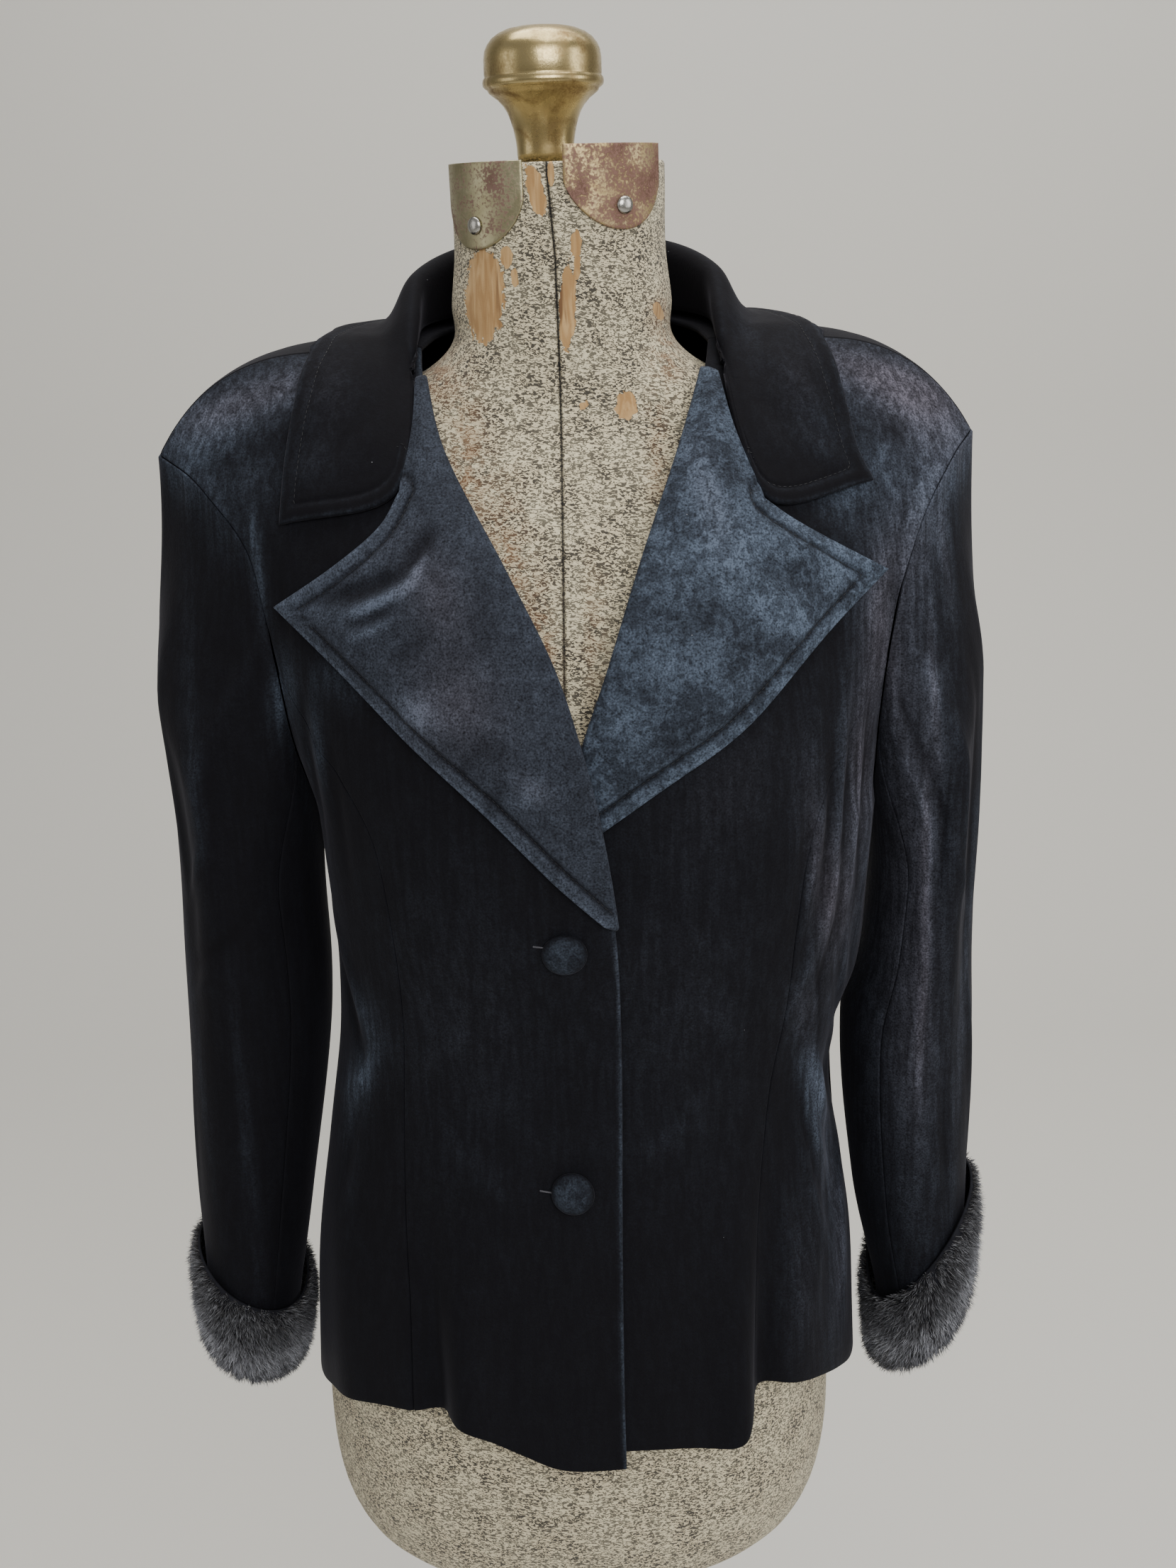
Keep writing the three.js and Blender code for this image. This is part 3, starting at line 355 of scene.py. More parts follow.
def nearness(beside, width):
    return np.exp(-((beside / width) ** 2))


def fold_swell(rows, side, out, z):
    folds = [fold for fold in FOLDS if fold["rows"] is rows and fold["side"] is side]
    return sum(f["swell"] * fullness(f, z) * nearness(out - f["out"], f["width"]) for f in folds)


def ridges(creases, x, z, blunt):
    """The height of soft ridges and troughs, each of which runs from (a, z_a) to (b, z_b)."""
    total = np.zeros(np.broadcast(x, z).shape)
    for crease in creases:
        reach = np.array([crease["b"] - crease["a"], crease["z_b"] - crease["z_a"]])
        right, up = x - crease["a"], z - crease["z_a"]
        along = np.clip((right * reach[0] + up * reach[1]) / (reach @ reach), 0, 1)
        apart = np.hypot(right - along * reach[0], up - along * reach[1])
        total += crease["lift"] * nearness(apart, crease["width"]) * np.sin(np.pi * along) ** blunt
    return total


def underlap(side, out, z):
    deeper = ease((z - LAPEL_UNDERLAP_FROM) / (LAPEL_UNDERLAP_TO - LAPEL_UNDERLAP_FROM))
    depth = lerp(UNDERLAP_DEPTH, UNDERLAP_DEPTH_AT_LAPEL, deeper)
    ends = ease((UNDERLAP_END - z) / UNDERLAP_END_FADE)
    return depth * ends * (1 - ease((out - UNDERLAP_OUT) / (UNDERLAP_FADE - UNDERLAP_OUT)))


def row_at(rows, side, up):
    row = {name: column_at(rows, "up", name, up) for name in "edge_y edge_z out_y out_z droop".split()}
    row["turn"] = np.radians(np.minimum(column_at(rows, "up", "turn", up), 90))
    row["edge"] = column_at(rows, "up", "edge_" + side["name"], up)
    row["reach"] = column_at(rows, "up", "out_" + side["name"], up)
    share = row["edge"] / row["reach"] * sine(row["turn"])
    row["start"] = np.arcsin(np.clip(signed_power(share, 1 / SQUARENESS), -1, 1))
    return row


def body_point(rows, side, across, up):
    row = row_at(rows, side, up)
    angle = lerp(row["start"], row["turn"], across)

    def plan(a):
        flat = cosine(row["turn"])
        depth = (cosine(a) - flat) / (cosine(np.maximum(row["start"], 0)) - flat)
        y = row["out_y"] + (row["edge_y"] - row["out_y"]) * depth
        return row["reach"] * sine(a) / sine(row["turn"]), y

    out, y = plan(angle)
    along = np.maximum((out - row["edge"]) / (row["reach"] - row["edge"]), 0)
    plain_hem = lerp(rows[0]["edge_z"], rows[0]["out_z"], along)
    z = row["edge_z"] + (row["out_z"] - row["edge_z"]) * along ** row["droop"]
    z = z + ease(1 - up / HEM_BLEND) * (hem_height(rows, side, out) - plain_hem)
    next_out, next_y = plan(angle + 0.01)
    last_out, last_y = plan(angle - 0.01)
    facing = 1 if rows is FRONT_ROWS else -1
    normal_out, normal_y = facing * (next_y - last_y), -facing * (next_out - last_out)
    size = np.maximum(np.hypot(normal_out, normal_y), 1e-9)
    swell = fold_swell(rows, side, out, z)
    sunk = underlap(side, out, z) if rows is FRONT_ROWS and side is LEFT else 0
    return placed(side, out + normal_out / size * swell, y + normal_y / size * swell + sunk, z)


def body_normal(rows, side, across, up):
    other = BACK_ROWS if rows is FRONT_ROWS else FRONT_ROWS

    def read(a, b):
        here = body_point(rows, side, a, np.minimum(b, 1))
        past = body_point(other, side, a, 2 - np.maximum(b, 1))
        return np.where((np.asarray(b) > 1)[..., None], past, here)

    step = 0.004
    normal = np.cross(read(across + step, up) - read(across - step, up),
                      read(across, up + step) - read(across, up - step))
    facing = side["sign"] * (1 if rows is FRONT_ROWS else -1)
    return facing * normal / np.linalg.norm(normal, axis=-1, keepdims=True)


def princess_across(side, up):
    row = row_at(FRONT_ROWS, side, up)
    share = np.minimum(column_at(FRONT_ROWS, "up", "princess", up), 1)
    angle = np.arcsin(np.minimum((share * sine(row["turn"])) ** (1 / SQUARENESS), 1))
    return np.where(share >= 1, 1, (angle - row["start"]) / (row["turn"] - row["start"]))


def seam_share(rows, side, across, up):
    beside = np.where(np.asarray(across) < 0.5, across + 0.001, across - 0.001)
    step = np.linalg.norm(body_point(rows, side, across, up) - body_point(rows, side, beside, up), axis=-1)
    return SEAM / 2 * 0.001 / np.maximum(step, 0.02)


def unit(vectors):
    return vectors / np.maximum(np.linalg.norm(vectors, axis=-1, keepdims=True), 1e-9)


def sheet_normals(grid, facing):
    return facing * unit(np.cross(np.gradient(grid, axis=1), np.gradient(grid, axis=0)))


# Distances in from an edge that has a row of its own, so that the edge can be rounded
EDGE_STEPS = np.array([0, 0.2, 0.55, 1.1])
EDGE_RADIUS = 1.1


def edged_shares(steps, length):
    edge = EDGE_STEPS / length
    middle = lerp(edge[-1], 1 - edge[-1], np.linspace(0, 1, steps + 1)[1:-1])
    return np.concatenate([edge, middle, 1 - edge[::-1]])


def edge_fall(shares, length):
    inside = np.minimum(np.minimum(shares, 1 - shares) * length, EDGE_RADIUS)
    return EDGE_RADIUS - np.sqrt(EDGE_RADIUS ** 2 - (EDGE_RADIUS - inside) ** 2)


def make_mesh(name, points, faces, material=None, edges=()):
    mesh = bpy.data.meshes.new(name)
    mesh.from_pydata((np.asarray(points) * MM).tolist(), list(edges), faces)
    if material:
        mesh.materials.append(material)
    mesh.shade_smooth()
    piece = bpy.data.objects.new(name, mesh)
    bpy.context.scene.collection.objects.link(piece)
    return piece


def paint(mesh, **layers):
    """Writes values, or vectors, on the mesh's points for its material or its nodes to read."""
    for title, values in layers.items():
        values = np.asarray(values, np.float32)
        kind, field = ("FLOAT", "value") if values.ndim == 1 else ("FLOAT_VECTOR", "vector")
        layer = mesh.attributes.new(title, kind, "POINT")
        layer.data.foreach_set(field, values.ravel())


def grid_faces(rows, columns):
    index = np.arange(rows * columns).reshape(rows, columns)
    return np.stack([index[:-1, :-1], index[:-1, 1:], index[1:, 1:], index[1:, :-1]], axis=-1).reshape(-1, 4)


def cloth_wall(name, outer, normals, thickness, material, nap, warm):
    """A closed wall of cloth below an outer sheet of points, with the pile's light painted on it."""
    rows, columns = outer.shape[:2]
    count = rows * columns
    points = np.concatenate([outer.reshape(-1, 3), (outer - normals * thickness).reshape(-1, 3)])
    front = grid_faces(rows, columns)
    index = np.arange(count).reshape(rows, columns)
    loop = np.concatenate([index[0], index[1:, -1], index[-1, -2::-1], index[-2::-1, 0]])
    rim = np.stack([loop[1:], loop[:-1], loop[:-1] + count, loop[1:] + count], axis=-1)
    faces = np.concatenate([front, front[:, ::-1] + count, rim])
    a, b, c, d = (points[faces[:, k]] for k in range(4))
    volume = (a * np.cross(b, c)).sum() + (a * np.cross(c, d)).sum()
    if volume < 0:
        faces = faces[:, ::-1]
    piece = make_mesh(name, points, faces.tolist(), material)
    nap, warm = (np.broadcast_to(values, (rows, columns)).reshape(-1) for values in (nap, warm))
    paint(piece.data, nap=np.concatenate([nap, nap / 2]), warm=np.concatenate([warm, warm / 2]))
    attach(piece, "root")
    return piece


# Where fine upright streaks of painted sheen crowd together: x, z, half sizes
SHEEN_STREAK_PLACES = [(150, 960, 22, 150), (142, 780, 18, 90), (-142, 1000, 14, 70), (-124, 808, 14, 44)]


def painted_ridge_light(nap, lift):
    """Painted light on the creases: the painted sheen is brighter on a ridge, and darker, as painted shade,
    in a trough.
    """
    return np.clip(nap * np.clip(1 + 0.5 * lift, 0.15, 2.4), 0, 1)


# Fine upright streaks of painted highlight and painted shade, added to the creases' painted light
def painted_sheen_streaks(points):
    x, z = points[..., 0], points[..., 2]
    wander = x + 2.2 * np.sin(z / 47) + 1.4 * np.sin(z / 19 + x / 13)
    fine = np.sin(wander / 0.83) + 0.8 * np.sin(wander / 1.37 + z / 140)
    fine = fine + 0.6 * np.sin(wander / 2.6 - z / 90)
    here = sum(np.exp(-((x - a) / wide) ** 2 - ((z - b) / tall) ** 2) for a, b, wide, tall in SHEEN_STREAK_PLACES)
    broken = 0.55 + 0.45 * np.sin(z / 23 + 3 * np.sin(x / 5.3))
    return 0.8 * fine * broken * np.clip(here, 0, 1) * (points[..., 1] < 0)


# Paints the sheen: a ground of painted sheen, with each mark's painted highlight added or, below zero,
# painted shade
def paint_sheen_marks(points, marks, ground=GROUND_PAINTED_SHEEN):
    nap = np.full(points.shape[:-1], float(ground))
    warm = np.zeros(points.shape[:-1])
    for mark in marks:
        turn = math.radians(mark["turn"])
        right, up = points[..., 0] - mark["x"], points[..., 2] - mark["z"]
        u = right * math.cos(turn) + up * math.sin(turn)
        v = up * math.cos(turn) - right * math.sin(turn)
        light = np.exp(-((u / mark["wide"]) ** 2) - (v / mark["tall"]) ** 2)
        nap += mark["nap"] * light
        warm += mark["warm"] * light
    return np.clip(nap, 0, 1), np.clip(warm, 0, 1)


def add_node(tree, kind, inputs=None, **settings):
    node = tree.nodes.new(kind)
    for name, value in settings.items():
        setattr(node, name, value)
    for key, value in (inputs or {}).items():
        if isinstance(value, bpy.types.NodeSocket):
            tree.links.new(value, node.inputs[key])
        else:
            node.inputs[key].default_value = value
    return node


def maths(tree, operation, *values):
    return add_node(tree, "ShaderNodeMath", dict(enumerate(values)), operation=operation).outputs[0]


def times(tree, first, second):
    return maths(tree, "MULTIPLY", first, second)


def scaled(tree, value, factor, start):
    return maths(tree, "MULTIPLY_ADD", value, factor, start)


def attribute(tree, title):
    return add_node(tree, "ShaderNodeAttribute", attribute_name=title).outputs["Fac"]


def blend_colours(tree, share, first, second):
    return add_node(tree, "ShaderNodeMix", {0: share, 6: first, 7: second}, data_type="RGBA").outputs[2]


def spread(tree, value, low, high):
    inputs = {0: value, 1: low, 2: high}
    return add_node(tree, "ShaderNodeMapRange", inputs, interpolation_type="SMOOTHSTEP").outputs[0]


def noise(tree, coords, scale, detail=2.0, distortion=0.0):
    inputs = {"Vector": coords, "Scale": scale, "Detail": detail, "Distortion": distortion}
    return add_node(tree, "ShaderNodeTexNoise", inputs).outputs[0]


def object_coords(tree):
    return add_node(tree, "ShaderNodeTexCoord").outputs["Object"]


def node_group(name, inputs, outputs, tree_type="ShaderNodeTree"):
    tree = bpy.data.node_groups.new(name, tree_type)
    for way, sockets in (("INPUT", inputs), ("OUTPUT", outputs)):
        for title, kind in sockets.items():
            tree.interface.new_socket(name=title, in_out=way, socket_type="NodeSocket" + kind)
    return tree, tree.nodes.new("NodeGroupInput").outputs, tree.nodes.new("NodeGroupOutput").inputs


def relief(tree, shader, height, strength, distance=0.0004):
    bump = add_node(tree, "ShaderNodeBump", {"Height": height, "Strength": strength, "Distance": distance})
    tree.links.new(bump.outputs[0], shader.inputs["Normal"])


def new_material(name, **fixed):
    """A material, its tree and its shader, with plain numbers set on the shader's own sockets."""
    material = bpy.data.materials.new(name)
    material.use_nodes = True
    shader = material.node_tree.nodes["Principled BSDF"]
    for title, value in fixed.items():
        shader.inputs[title.replace("_", " ")].default_value = value
    return material, material.node_tree, shader


# The pile: near black, with a painted sheen on it: blue-grey or plum-grey painted highlights where the
# painted sheen attribute is high. "Mottling" is how crushed it is, which breaks the painted sheen into
# patches, and a few pale specks of lint lie on it.
DEEP_PILE = (0.0032, 0.0029, 0.0045, 1)
BLUE_PAINTED_SHEEN = (0.091, 0.119, 0.168, 1)
PLUM_PAINTED_SHEEN = (0.116, 0.111, 0.143, 1)
LINT = (0.30, 0.31, 0.34, 1)

pile_group, given, result = node_group(
    "velvet pile", {"Nap": "Float", "Warm": "Float", "Mottling": "Float", "Streaks": "Float"},
    {"Color": "Color", "Height": "Float"})
coords = object_coords(pile_group)
upright = add_node(pile_group, "ShaderNodeMapping", {0: coords, 3: (1.0, 1.0, 0.09)}).outputs[0]
clouds = noise(pile_group, coords, 46.0, 2.0, 0.3)
crushed = noise(pile_group, coords, 175.0, 5.0, 0.9)
# Fine upright streaks of painted highlight and painted shade
streak_noise = noise(pile_group, upright, 290.0, 4.0, 0.4)
tufts = noise(pile_group, coords, 950.0, 2.0)
clouded = maths(pile_group, "ADD", times(pile_group, clouds, 0.4), times(pile_group, crushed, 0.6))
lying = maths(pile_group, "SUBTRACT", 1.0, spread(pile_group, clouded, 0.41, 0.60))
painted_sheen_unmottled = maths(pile_group, "SUBTRACT", 1.0, times(pile_group, given["Mottling"], lying))
painted_streak_light = scaled(pile_group, spread(pile_group, streak_noise, 0.36, 0.64), 2.0, -1.0)
streaked = scaled(pile_group, painted_streak_light, given["Streaks"], 1.0)
painted_sheen_strength = times(pile_group, times(pile_group, given["Nap"], painted_sheen_unmottled), streaked)
painted_sheen_share = times(pile_group, painted_sheen_strength, scaled(pile_group, tufts, 3.2, -0.6))
painted_sheen_share.node.use_clamp = True
painted_sheen_colour = blend_colours(pile_group, given["Warm"], BLUE_PAINTED_SHEEN, PLUM_PAINTED_SHEEN)
pile_colour = blend_colours(pile_group, painted_sheen_share, DEEP_PILE, painted_sheen_colour)
lint_cells = add_node(pile_group, "ShaderNodeTexVoronoi", {"Vector": coords, "Scale": 75.0}).outputs
lint_pick = add_node(pile_group, "ShaderNodeSeparateColor", {0: lint_cells["Color"]}).outputs[0]
lint_mask = times(pile_group, maths(pile_group, "GREATER_THAN", lint_pick, 0.93),
                  maths(pile_group, "LESS_THAN", lint_cells["Distance"], 0.016))
pile_group.links.new(blend_colours(pile_group, lint_mask, pile_colour, LINT), result["Color"])
pile_group.links.new(maths(pile_group, "ADD", tufts, times(pile_group, crushed, 1.5)), result["Height"])


def velvet_material(name, mottling, painted_sheen_streaks, bump):
    material, tree, shader = new_material(
        name, Roughness=0.85, Specular_IOR_Level=0.12, Sheen_Weight=0.07, Sheen_Roughness=0.35,
        Sheen_Tint=(0.50, 0.50, 0.62, 1))
    pile = add_node(tree, "ShaderNodeGroup", node_tree=pile_group)
    for title, value in (("Mottling", mottling), ("Streaks", painted_sheen_streaks)):
        pile.inputs[title].default_value = value
    for title in ("Nap", "Warm"):
        tree.links.new(attribute(tree, title.lower()), pile.inputs[title])
    tree.links.new(pile.outputs["Color"], shader.inputs["Base Color"])
    relief(tree, shader, pile.outputs["Height"], bump)
    return material


velvet = velvet_material("black-blue velvet", 0.34, 0.34, 0.3)

# Each panel's steps and width across, and its cut: its width and length flat, and its area in square metres
PANELS = {
    "front": {"steps": 96, "width": 150, "flat": (0.20, 0.66), "area": 0.092},
    "side_front": {"steps": 80, "width": 90, "flat": (0.14, 0.50), "area": 0.056},
    "back": {"steps": 84, "width": 180, "flat": (0.24, 0.69), "area": 0.146},
}
STEPS_UP = 150


def panel_heights(last):
    edge = EDGE_STEPS / PANEL_LENGTH
    top = min(last, 1 - SEAM / 2 / PANEL_LENGTH)
    below = np.linspace(edge[-1], UNDERARM, int(STEPS_UP * UNDERARM))
    above = np.linspace(UNDERARM, top - edge[-1], int(STEPS_UP * (top - UNDERARM)) + 1)[1:]
    return np.concatenate([edge[:-1], below, above, top - edge[-2::-1]])


def body_panel(kind, rows, side, last, begin, end):
    ups = panel_heights(last)[:, None]
    panel = PANELS[kind]
    width = panel["width"]
    shares = edged_shares(panel["steps"], width)[None, :]
    across = lerp(begin(ups), end(ups), shares)
    outer = body_point(rows, side, across, ups)
    normals = body_normal(rows, side, across, ups)
    z = outer[..., 2]
    out = (outer[..., 0] - lean(z)) * side["sign"]
    lift = ridges([c for c in CREASES if c["rows"] is rows and c["side"] is side], out, z, 0.8)
    waver = 0.3 * np.sin(out / 7.3 + 1.7 * np.sin(z / 31)) * np.sin(z / 43 + out / 60)
    calm = ease((shares * width) / 12) * ease((1 - shares) * width / 12)
    fall = edge_fall(shares, width) + edge_fall(ups / last, PANEL_LENGTH * last)
    outer = outer + normals * (lift + waver * calm - fall)[..., None]
    # Painted sheen from the marks, with painted highlights on ridges and painted shade in troughs
    nap, warm = paint_sheen_marks(outer, FRONT_MARKS if rows is FRONT_ROWS else BACK_MARKS)
    nap = painted_ridge_light(nap, lift + painted_sheen_streaks(outer))
    # A painted highlight along the wearer's right front edge
    if kind == "front" and side is RIGHT:
        nap = nap + 0.22 * nearness(shares * width - 1, 1.2)
    piece = cloth_wall(f"{kind}_{side['name']}_velvet", outer, normals, VELVET_THICKNESS, velvet, nap, warm)
    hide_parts(f"{kind}_{side['name']}")


for side in SIDES:
    def gap(rows, across, up, side=side):
        return seam_share(rows, side, across, up)

    def seam(up, side=side):
        return princess_across(side, up)

    def before_seam(up):
        return np.where(seam(up) < 1, seam(up) - gap(FRONT_ROWS, np.minimum(seam(up), 1), up), 1)

    def past_seam(up):
        return seam(up) + gap(FRONT_ROWS, seam(up), up)

    def side_seam(rows):
        return lambda up: np.where(up <= UNDERARM, 1 - gap(rows, np.ones_like(up), up), 1)

    body_panel("front", FRONT_ROWS, side, 1, lambda up: np.zeros_like(up), before_seam)
    body_panel("side_front", FRONT_ROWS, side, SIDE_FRONT_TOP, past_seam, side_seam(FRONT_ROWS))
    body_panel("back", BACK_ROWS, side, 1, lambda up: gap(BACK_ROWS, np.zeros_like(up), up),
               side_seam(BACK_ROWS))


# The sleeves: an upper sleeve set into the armhole with a little fullness at its head, and a narrow
# under sleeve. Both hang straight with soft lengthwise folds, and fall open at the wrist.
SLEEVE_THICKNESS = 1.4
SLEEVE_BLEND = 0.24
SLEEVE_LENGTH = 520
SLEEVE_STEPS_DOWN = 116
SLEEVE_GIRTH = 330
SLEEVE_SEAM_GIRTH = 160
UNDER_SHARE = 0.15
SHARED_RIM = 0.26
SLEEVE_BELOW_FUR = 1
SLEEVE_RIGHT = table("z out half_out y half_y", """
    640 207 27.5 -25 49
    700 203 34 -18 51
    806 196 42 -9 56
    860 195 43 -5 60
    950 198 39 0 68
    1060 203 38 0 72
    1160 200 37 0 72
""")
SLEEVE_LEFT = table("z out half_out y half_y", """
    640 209 27 -25 49
    700 203.5 34.5 -18 51
    806 199 39 -9 56
    860 203 32 -5 61
    950 204 29 0 68
    1060 196 34 0 72
    1160 192 34 0 72
""")
SLEEVE_FOLDS = table("side round width swell base top", """
    right .12 .035 -3 760 1080
    right .24 .04 -4 860 1040
    left .13 .04 -4 700 1110
    left .26 .04 -3 840 1020
""")
SLEEVE_CREASES = table("side a z_a b z_b width lift", """
    right .05 1080 .1 900 4.5 1.5
    right .17 1090 .19 930 4.5 1.4
    right .22 960 .1 902 5 1.3
    right .3 905 .12 868 4.5 -1.5
    right .24 872 .06 838 5 1.4
    right .07 800 .05 690 5 1.2
    right -.2 1000 -.1 930 5.5 1.5
    right -.28 950 -.12 905 5 -1.5
    right -.26 890 -.08 862 5 1.4
    right -.12 820 -.1 700 6 1.2
    left .04 1090 .08 880 4 1.7
    left .09 1060 .12 840 4 -1.4
    left .18 1080 .17 880 4.5 1.5
    left .19 1112 .27 1000 3 1.5
    left .272 1024 .305 890 3 1.5
    left .3 930 .25 760 3.2 1.2
    left .235 1060 .262 900 4 -1.2
    left .24 940 .1 880 5 1.2
    left .1 850 .05 720 4.5 1.4
    left .2 800 .17 690 5 -1.2
    left -.18 1010 -.09 945 5.5 1.4
    left -.27 955 -.1 912 5 -1.4
    left -.24 880 -.1 850 5 1.5
    left -.11 820 -.12 710 6 1.2
""")
FUR_BANDS = {
    "right": {"low": 612, "low_tilt": 14, "high": 657, "high_tilt": 20},
    "left": {"low": 612, "low_tilt": 28, "high": 664, "high_tilt": 38},
}


def armhole_edge(side, turns):
    share = 2 * np.abs(turns - np.round(turns))
    up = 1 - (1 - UNDERARM) * share
    in_front = (turns - np.floor(turns) < 0.5)[..., None]
    points = [body_point(rows, side, np.ones_like(up), up) for rows in (FRONT_ROWS, BACK_ROWS)]
    normals = [body_normal(rows, side, np.full_like(up, 0.999), np.minimum(up, 0.9998))
               for rows in (FRONT_ROWS, BACK_ROWS)]
    return np.where(in_front, *points), np.where(in_front, *normals)


def armhole_point(side, turns):
    point, normal = armhole_edge(side, turns)
    along = armhole_edge(side, turns + 0.01)[0] - armhole_edge(side, turns - 0.01)[0]
    away = side["sign"] * unit(np.cross(along, normal))
    return point + normal * CLEAR - away * CLEAR


def cuff_height(side, angle, part):
    band = FUR_BANDS[side["name"]]
    low = band["low"] + band["low_tilt"] * np.cos(angle)
    high = band["high"] + band["high_tilt"] * np.cos(angle)
    return lerp(low, high, part)


def sleeve_normal(side, angle, z):
    rows = SLEEVE_RIGHT if side is RIGHT else SLEEVE_LEFT
    out = np.cos(angle) / column_at(rows, "z", "half_out", z)
    back = -np.sin(angle) / column_at(rows, "z", "half_y", z)
    size = np.hypot(out, back)
    return out / size, back / size


def sleeve_round(side, angle, z, off):
    rows = SLEEVE_RIGHT if side is RIGHT else SLEEVE_LEFT
    normal_out, normal_y = sleeve_normal(side, angle, z)
    lift = np.zeros(np.broadcast(angle, z).shape) + off
    for fold in SLEEVE_FOLDS:
        if fold["side"] is side:
            beside = angle / (2 * math.pi) - fold["round"]
            beside = nearness(beside - np.round(beside), fold["width"])
            lift = lift + fold["swell"] * fullness(fold, z) * beside
    out = column_at(rows, "z", "out", z) + column_at(rows, "z", "half_out", z) * np.cos(angle)
    y = column_at(rows, "z", "y", z) - column_at(rows, "z", "half_y", z) * np.sin(angle)
    return placed(side, out + normal_out * lift, y + normal_y * lift, z)


def sleeve_point(side, turns, down):
    angle = 2 * math.pi * turns
    start = armhole_point(side, turns)
    z = lerp(start[..., 2], cuff_height(side, angle, 0) + SLEEVE_BELOW_FUR, down)
    free = sleeve_round(side, angle, z, 0)
    share = ease(down / SLEEVE_BLEND)[..., None]
    return np.concatenate([lerp(start[..., :2], free[..., :2], share), z[..., None]], axis=-1)


def sleeve_creases(side, turns, z):
    creases = [{**c, "a": c["a"] * SLEEVE_GIRTH, "b": c["b"] * SLEEVE_GIRTH}
               for c in SLEEVE_CREASES if c["side"] is side]
    return ridges(creases, (turns - np.round(turns)) * SLEEVE_GIRTH, z, 0.8)


def sleeve_piece(kind, side, first, last, steps, width):
    half_seam = SEAM / 2 / SLEEVE_SEAM_GIRTH
    shares = edged_shares(steps, width)[None, :]
    turns = lerp(first + half_seam, last - half_seam, shares)
    edge = EDGE_STEPS / SLEEVE_LENGTH
    middle = np.linspace(edge[-1], 1 - edge[-1], SLEEVE_STEPS_DOWN)[1:-1]
    turns, downs = np.broadcast_arrays(turns, np.concatenate([edge, middle, 1 - edge[::-1]])[:, None])
    outer = sleeve_point(side, turns, downs)
    step = 0.004
    around = sleeve_point(side, turns + step, downs) - sleeve_point(side, turns - step, downs)
    along = sleeve_point(side, turns, downs + step) - sleeve_point(side, turns, np.maximum(downs - step, 0))
    normals = side["sign"] * unit(np.cross(around, along))
    from_shoulder = np.abs(turns - np.round(turns))
    down = downs * SLEEVE_LENGTH
    rim = (1 - ease(from_shoulder / SHARED_RIM)) * (1 - ease(down / 12))
    shared = unit(lerp(normals, armhole_edge(side, turns)[1], rim[..., None]))
    z = outer[..., 2]
    calm = ease(down / 26) * ease(shares * width / 10) * ease((1 - shares) * width / 10)
    # The head's fullness is eased in as small ripples below the seam
    eased = 0.5 * np.sin(2 * math.pi * turns * 31) * np.exp(-((down - 9) / 8) ** 2)
    eased = eased * ease((0.2 - from_shoulder) / 0.1)
    waver = 0.35 * np.sin(turns * 37 + 1.3 * np.sin(z / 37)) * np.sin(z / 51 + turns * 9)
    creases = sleeve_creases(side, turns, z)
    lift = creases * ease(down / 30) + waver * calm + eased
    fall = edge_fall(shares, width) + edge_fall(downs, SLEEVE_LENGTH)
    outer = outer + shared * (lift - fall)[..., None]
    # Painted sheen on the sleeves, front marks blended into back ones, with painted highlights on ridges and
    # painted shade in troughs
    in_front, behind = (np.stack(paint_sheen_marks(outer, marks), -1) for marks in (FRONT_MARKS, BACK_MARKS))
    marks = lerp(in_front, behind, ease((outer[..., 1:2] + 12) / 44))
    creases = sleeve_creases(side, turns, outer[..., 2])
    piece = cloth_wall(f"{kind}_{side['name']}_velvet", outer, shared, SLEEVE_THICKNESS, velvet,
                       painted_ridge_light(marks[..., 0], creases + painted_sheen_streaks(outer)), marks[..., 1])
    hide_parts(f"{kind}_{side['name']}")


for side in SIDES:
    split = 0.5 - UNDER_SHARE
    sleeve_piece("upper_sleeve", side, -split, split, 120, 260)
    sleeve_piece("under_sleeve", side, split, 1 - split, 40, 115)


# The fur cuffs: a band of dense dyed fur about 45 mm deep round each wrist. The hair lies out and
# down, a little of it at odds, with bluish silver tips, and its ends make a ragged edge.
FUR_STEPS = 180
FUR_THICKNESS = 1.2
FUR_SECTION = table("off part", """
    4.2 1.04
    5.6 .98
    6.4 .8
    6.8 .5
    6.4 .2
    5.6 .02
    4.2 -.03
""")
FUR_CLUMPS = 4300
HAIRS_IN_CLUMP = 7
HAIR_LENGTH = 0.0094
HAIR_WIDTH = 0.00052
HAIR_ROOT_DEPTH = 1.5

fur_base, fur_tree, fur_shader = new_material("fur skin", Roughness=0.95, Specular_IOR_Level=0.1)
skin = blend_colours(fur_tree, noise(fur_tree, object_coords(fur_tree), 160.0, 3.0),
                     (0.004, 0.004, 0.006, 1), (0.02, 0.021, 0.027, 1))
fur_tree.links.new(skin, fur_shader.inputs["Base Color"])

hair_material, hair_tree, hair_shader = new_material(
    "charcoal fur", Roughness=0.42, Specular_IOR_Level=0.45, Sheen_Weight=0.15, Sheen_Roughness=0.4)
shade = attribute(hair_tree, "shade")
root_colour = blend_colours(hair_tree, shade, (0.008, 0.0075, 0.009, 1), (0.040, 0.036, 0.037, 1))
tip_colour = blend_colours(hair_tree, shade, (0.032, 0.033, 0.040, 1), (0.50, 0.52, 0.58, 1))
to_tip = spread(hair_tree, attribute(hair_tree, "tip"), 0.25, 1.0)
fur_colour = blend_colours(hair_tree, to_tip, root_colour, tip_colour)
hair_tree.links.new(fur_colour, hair_shader.inputs["Base Color"])


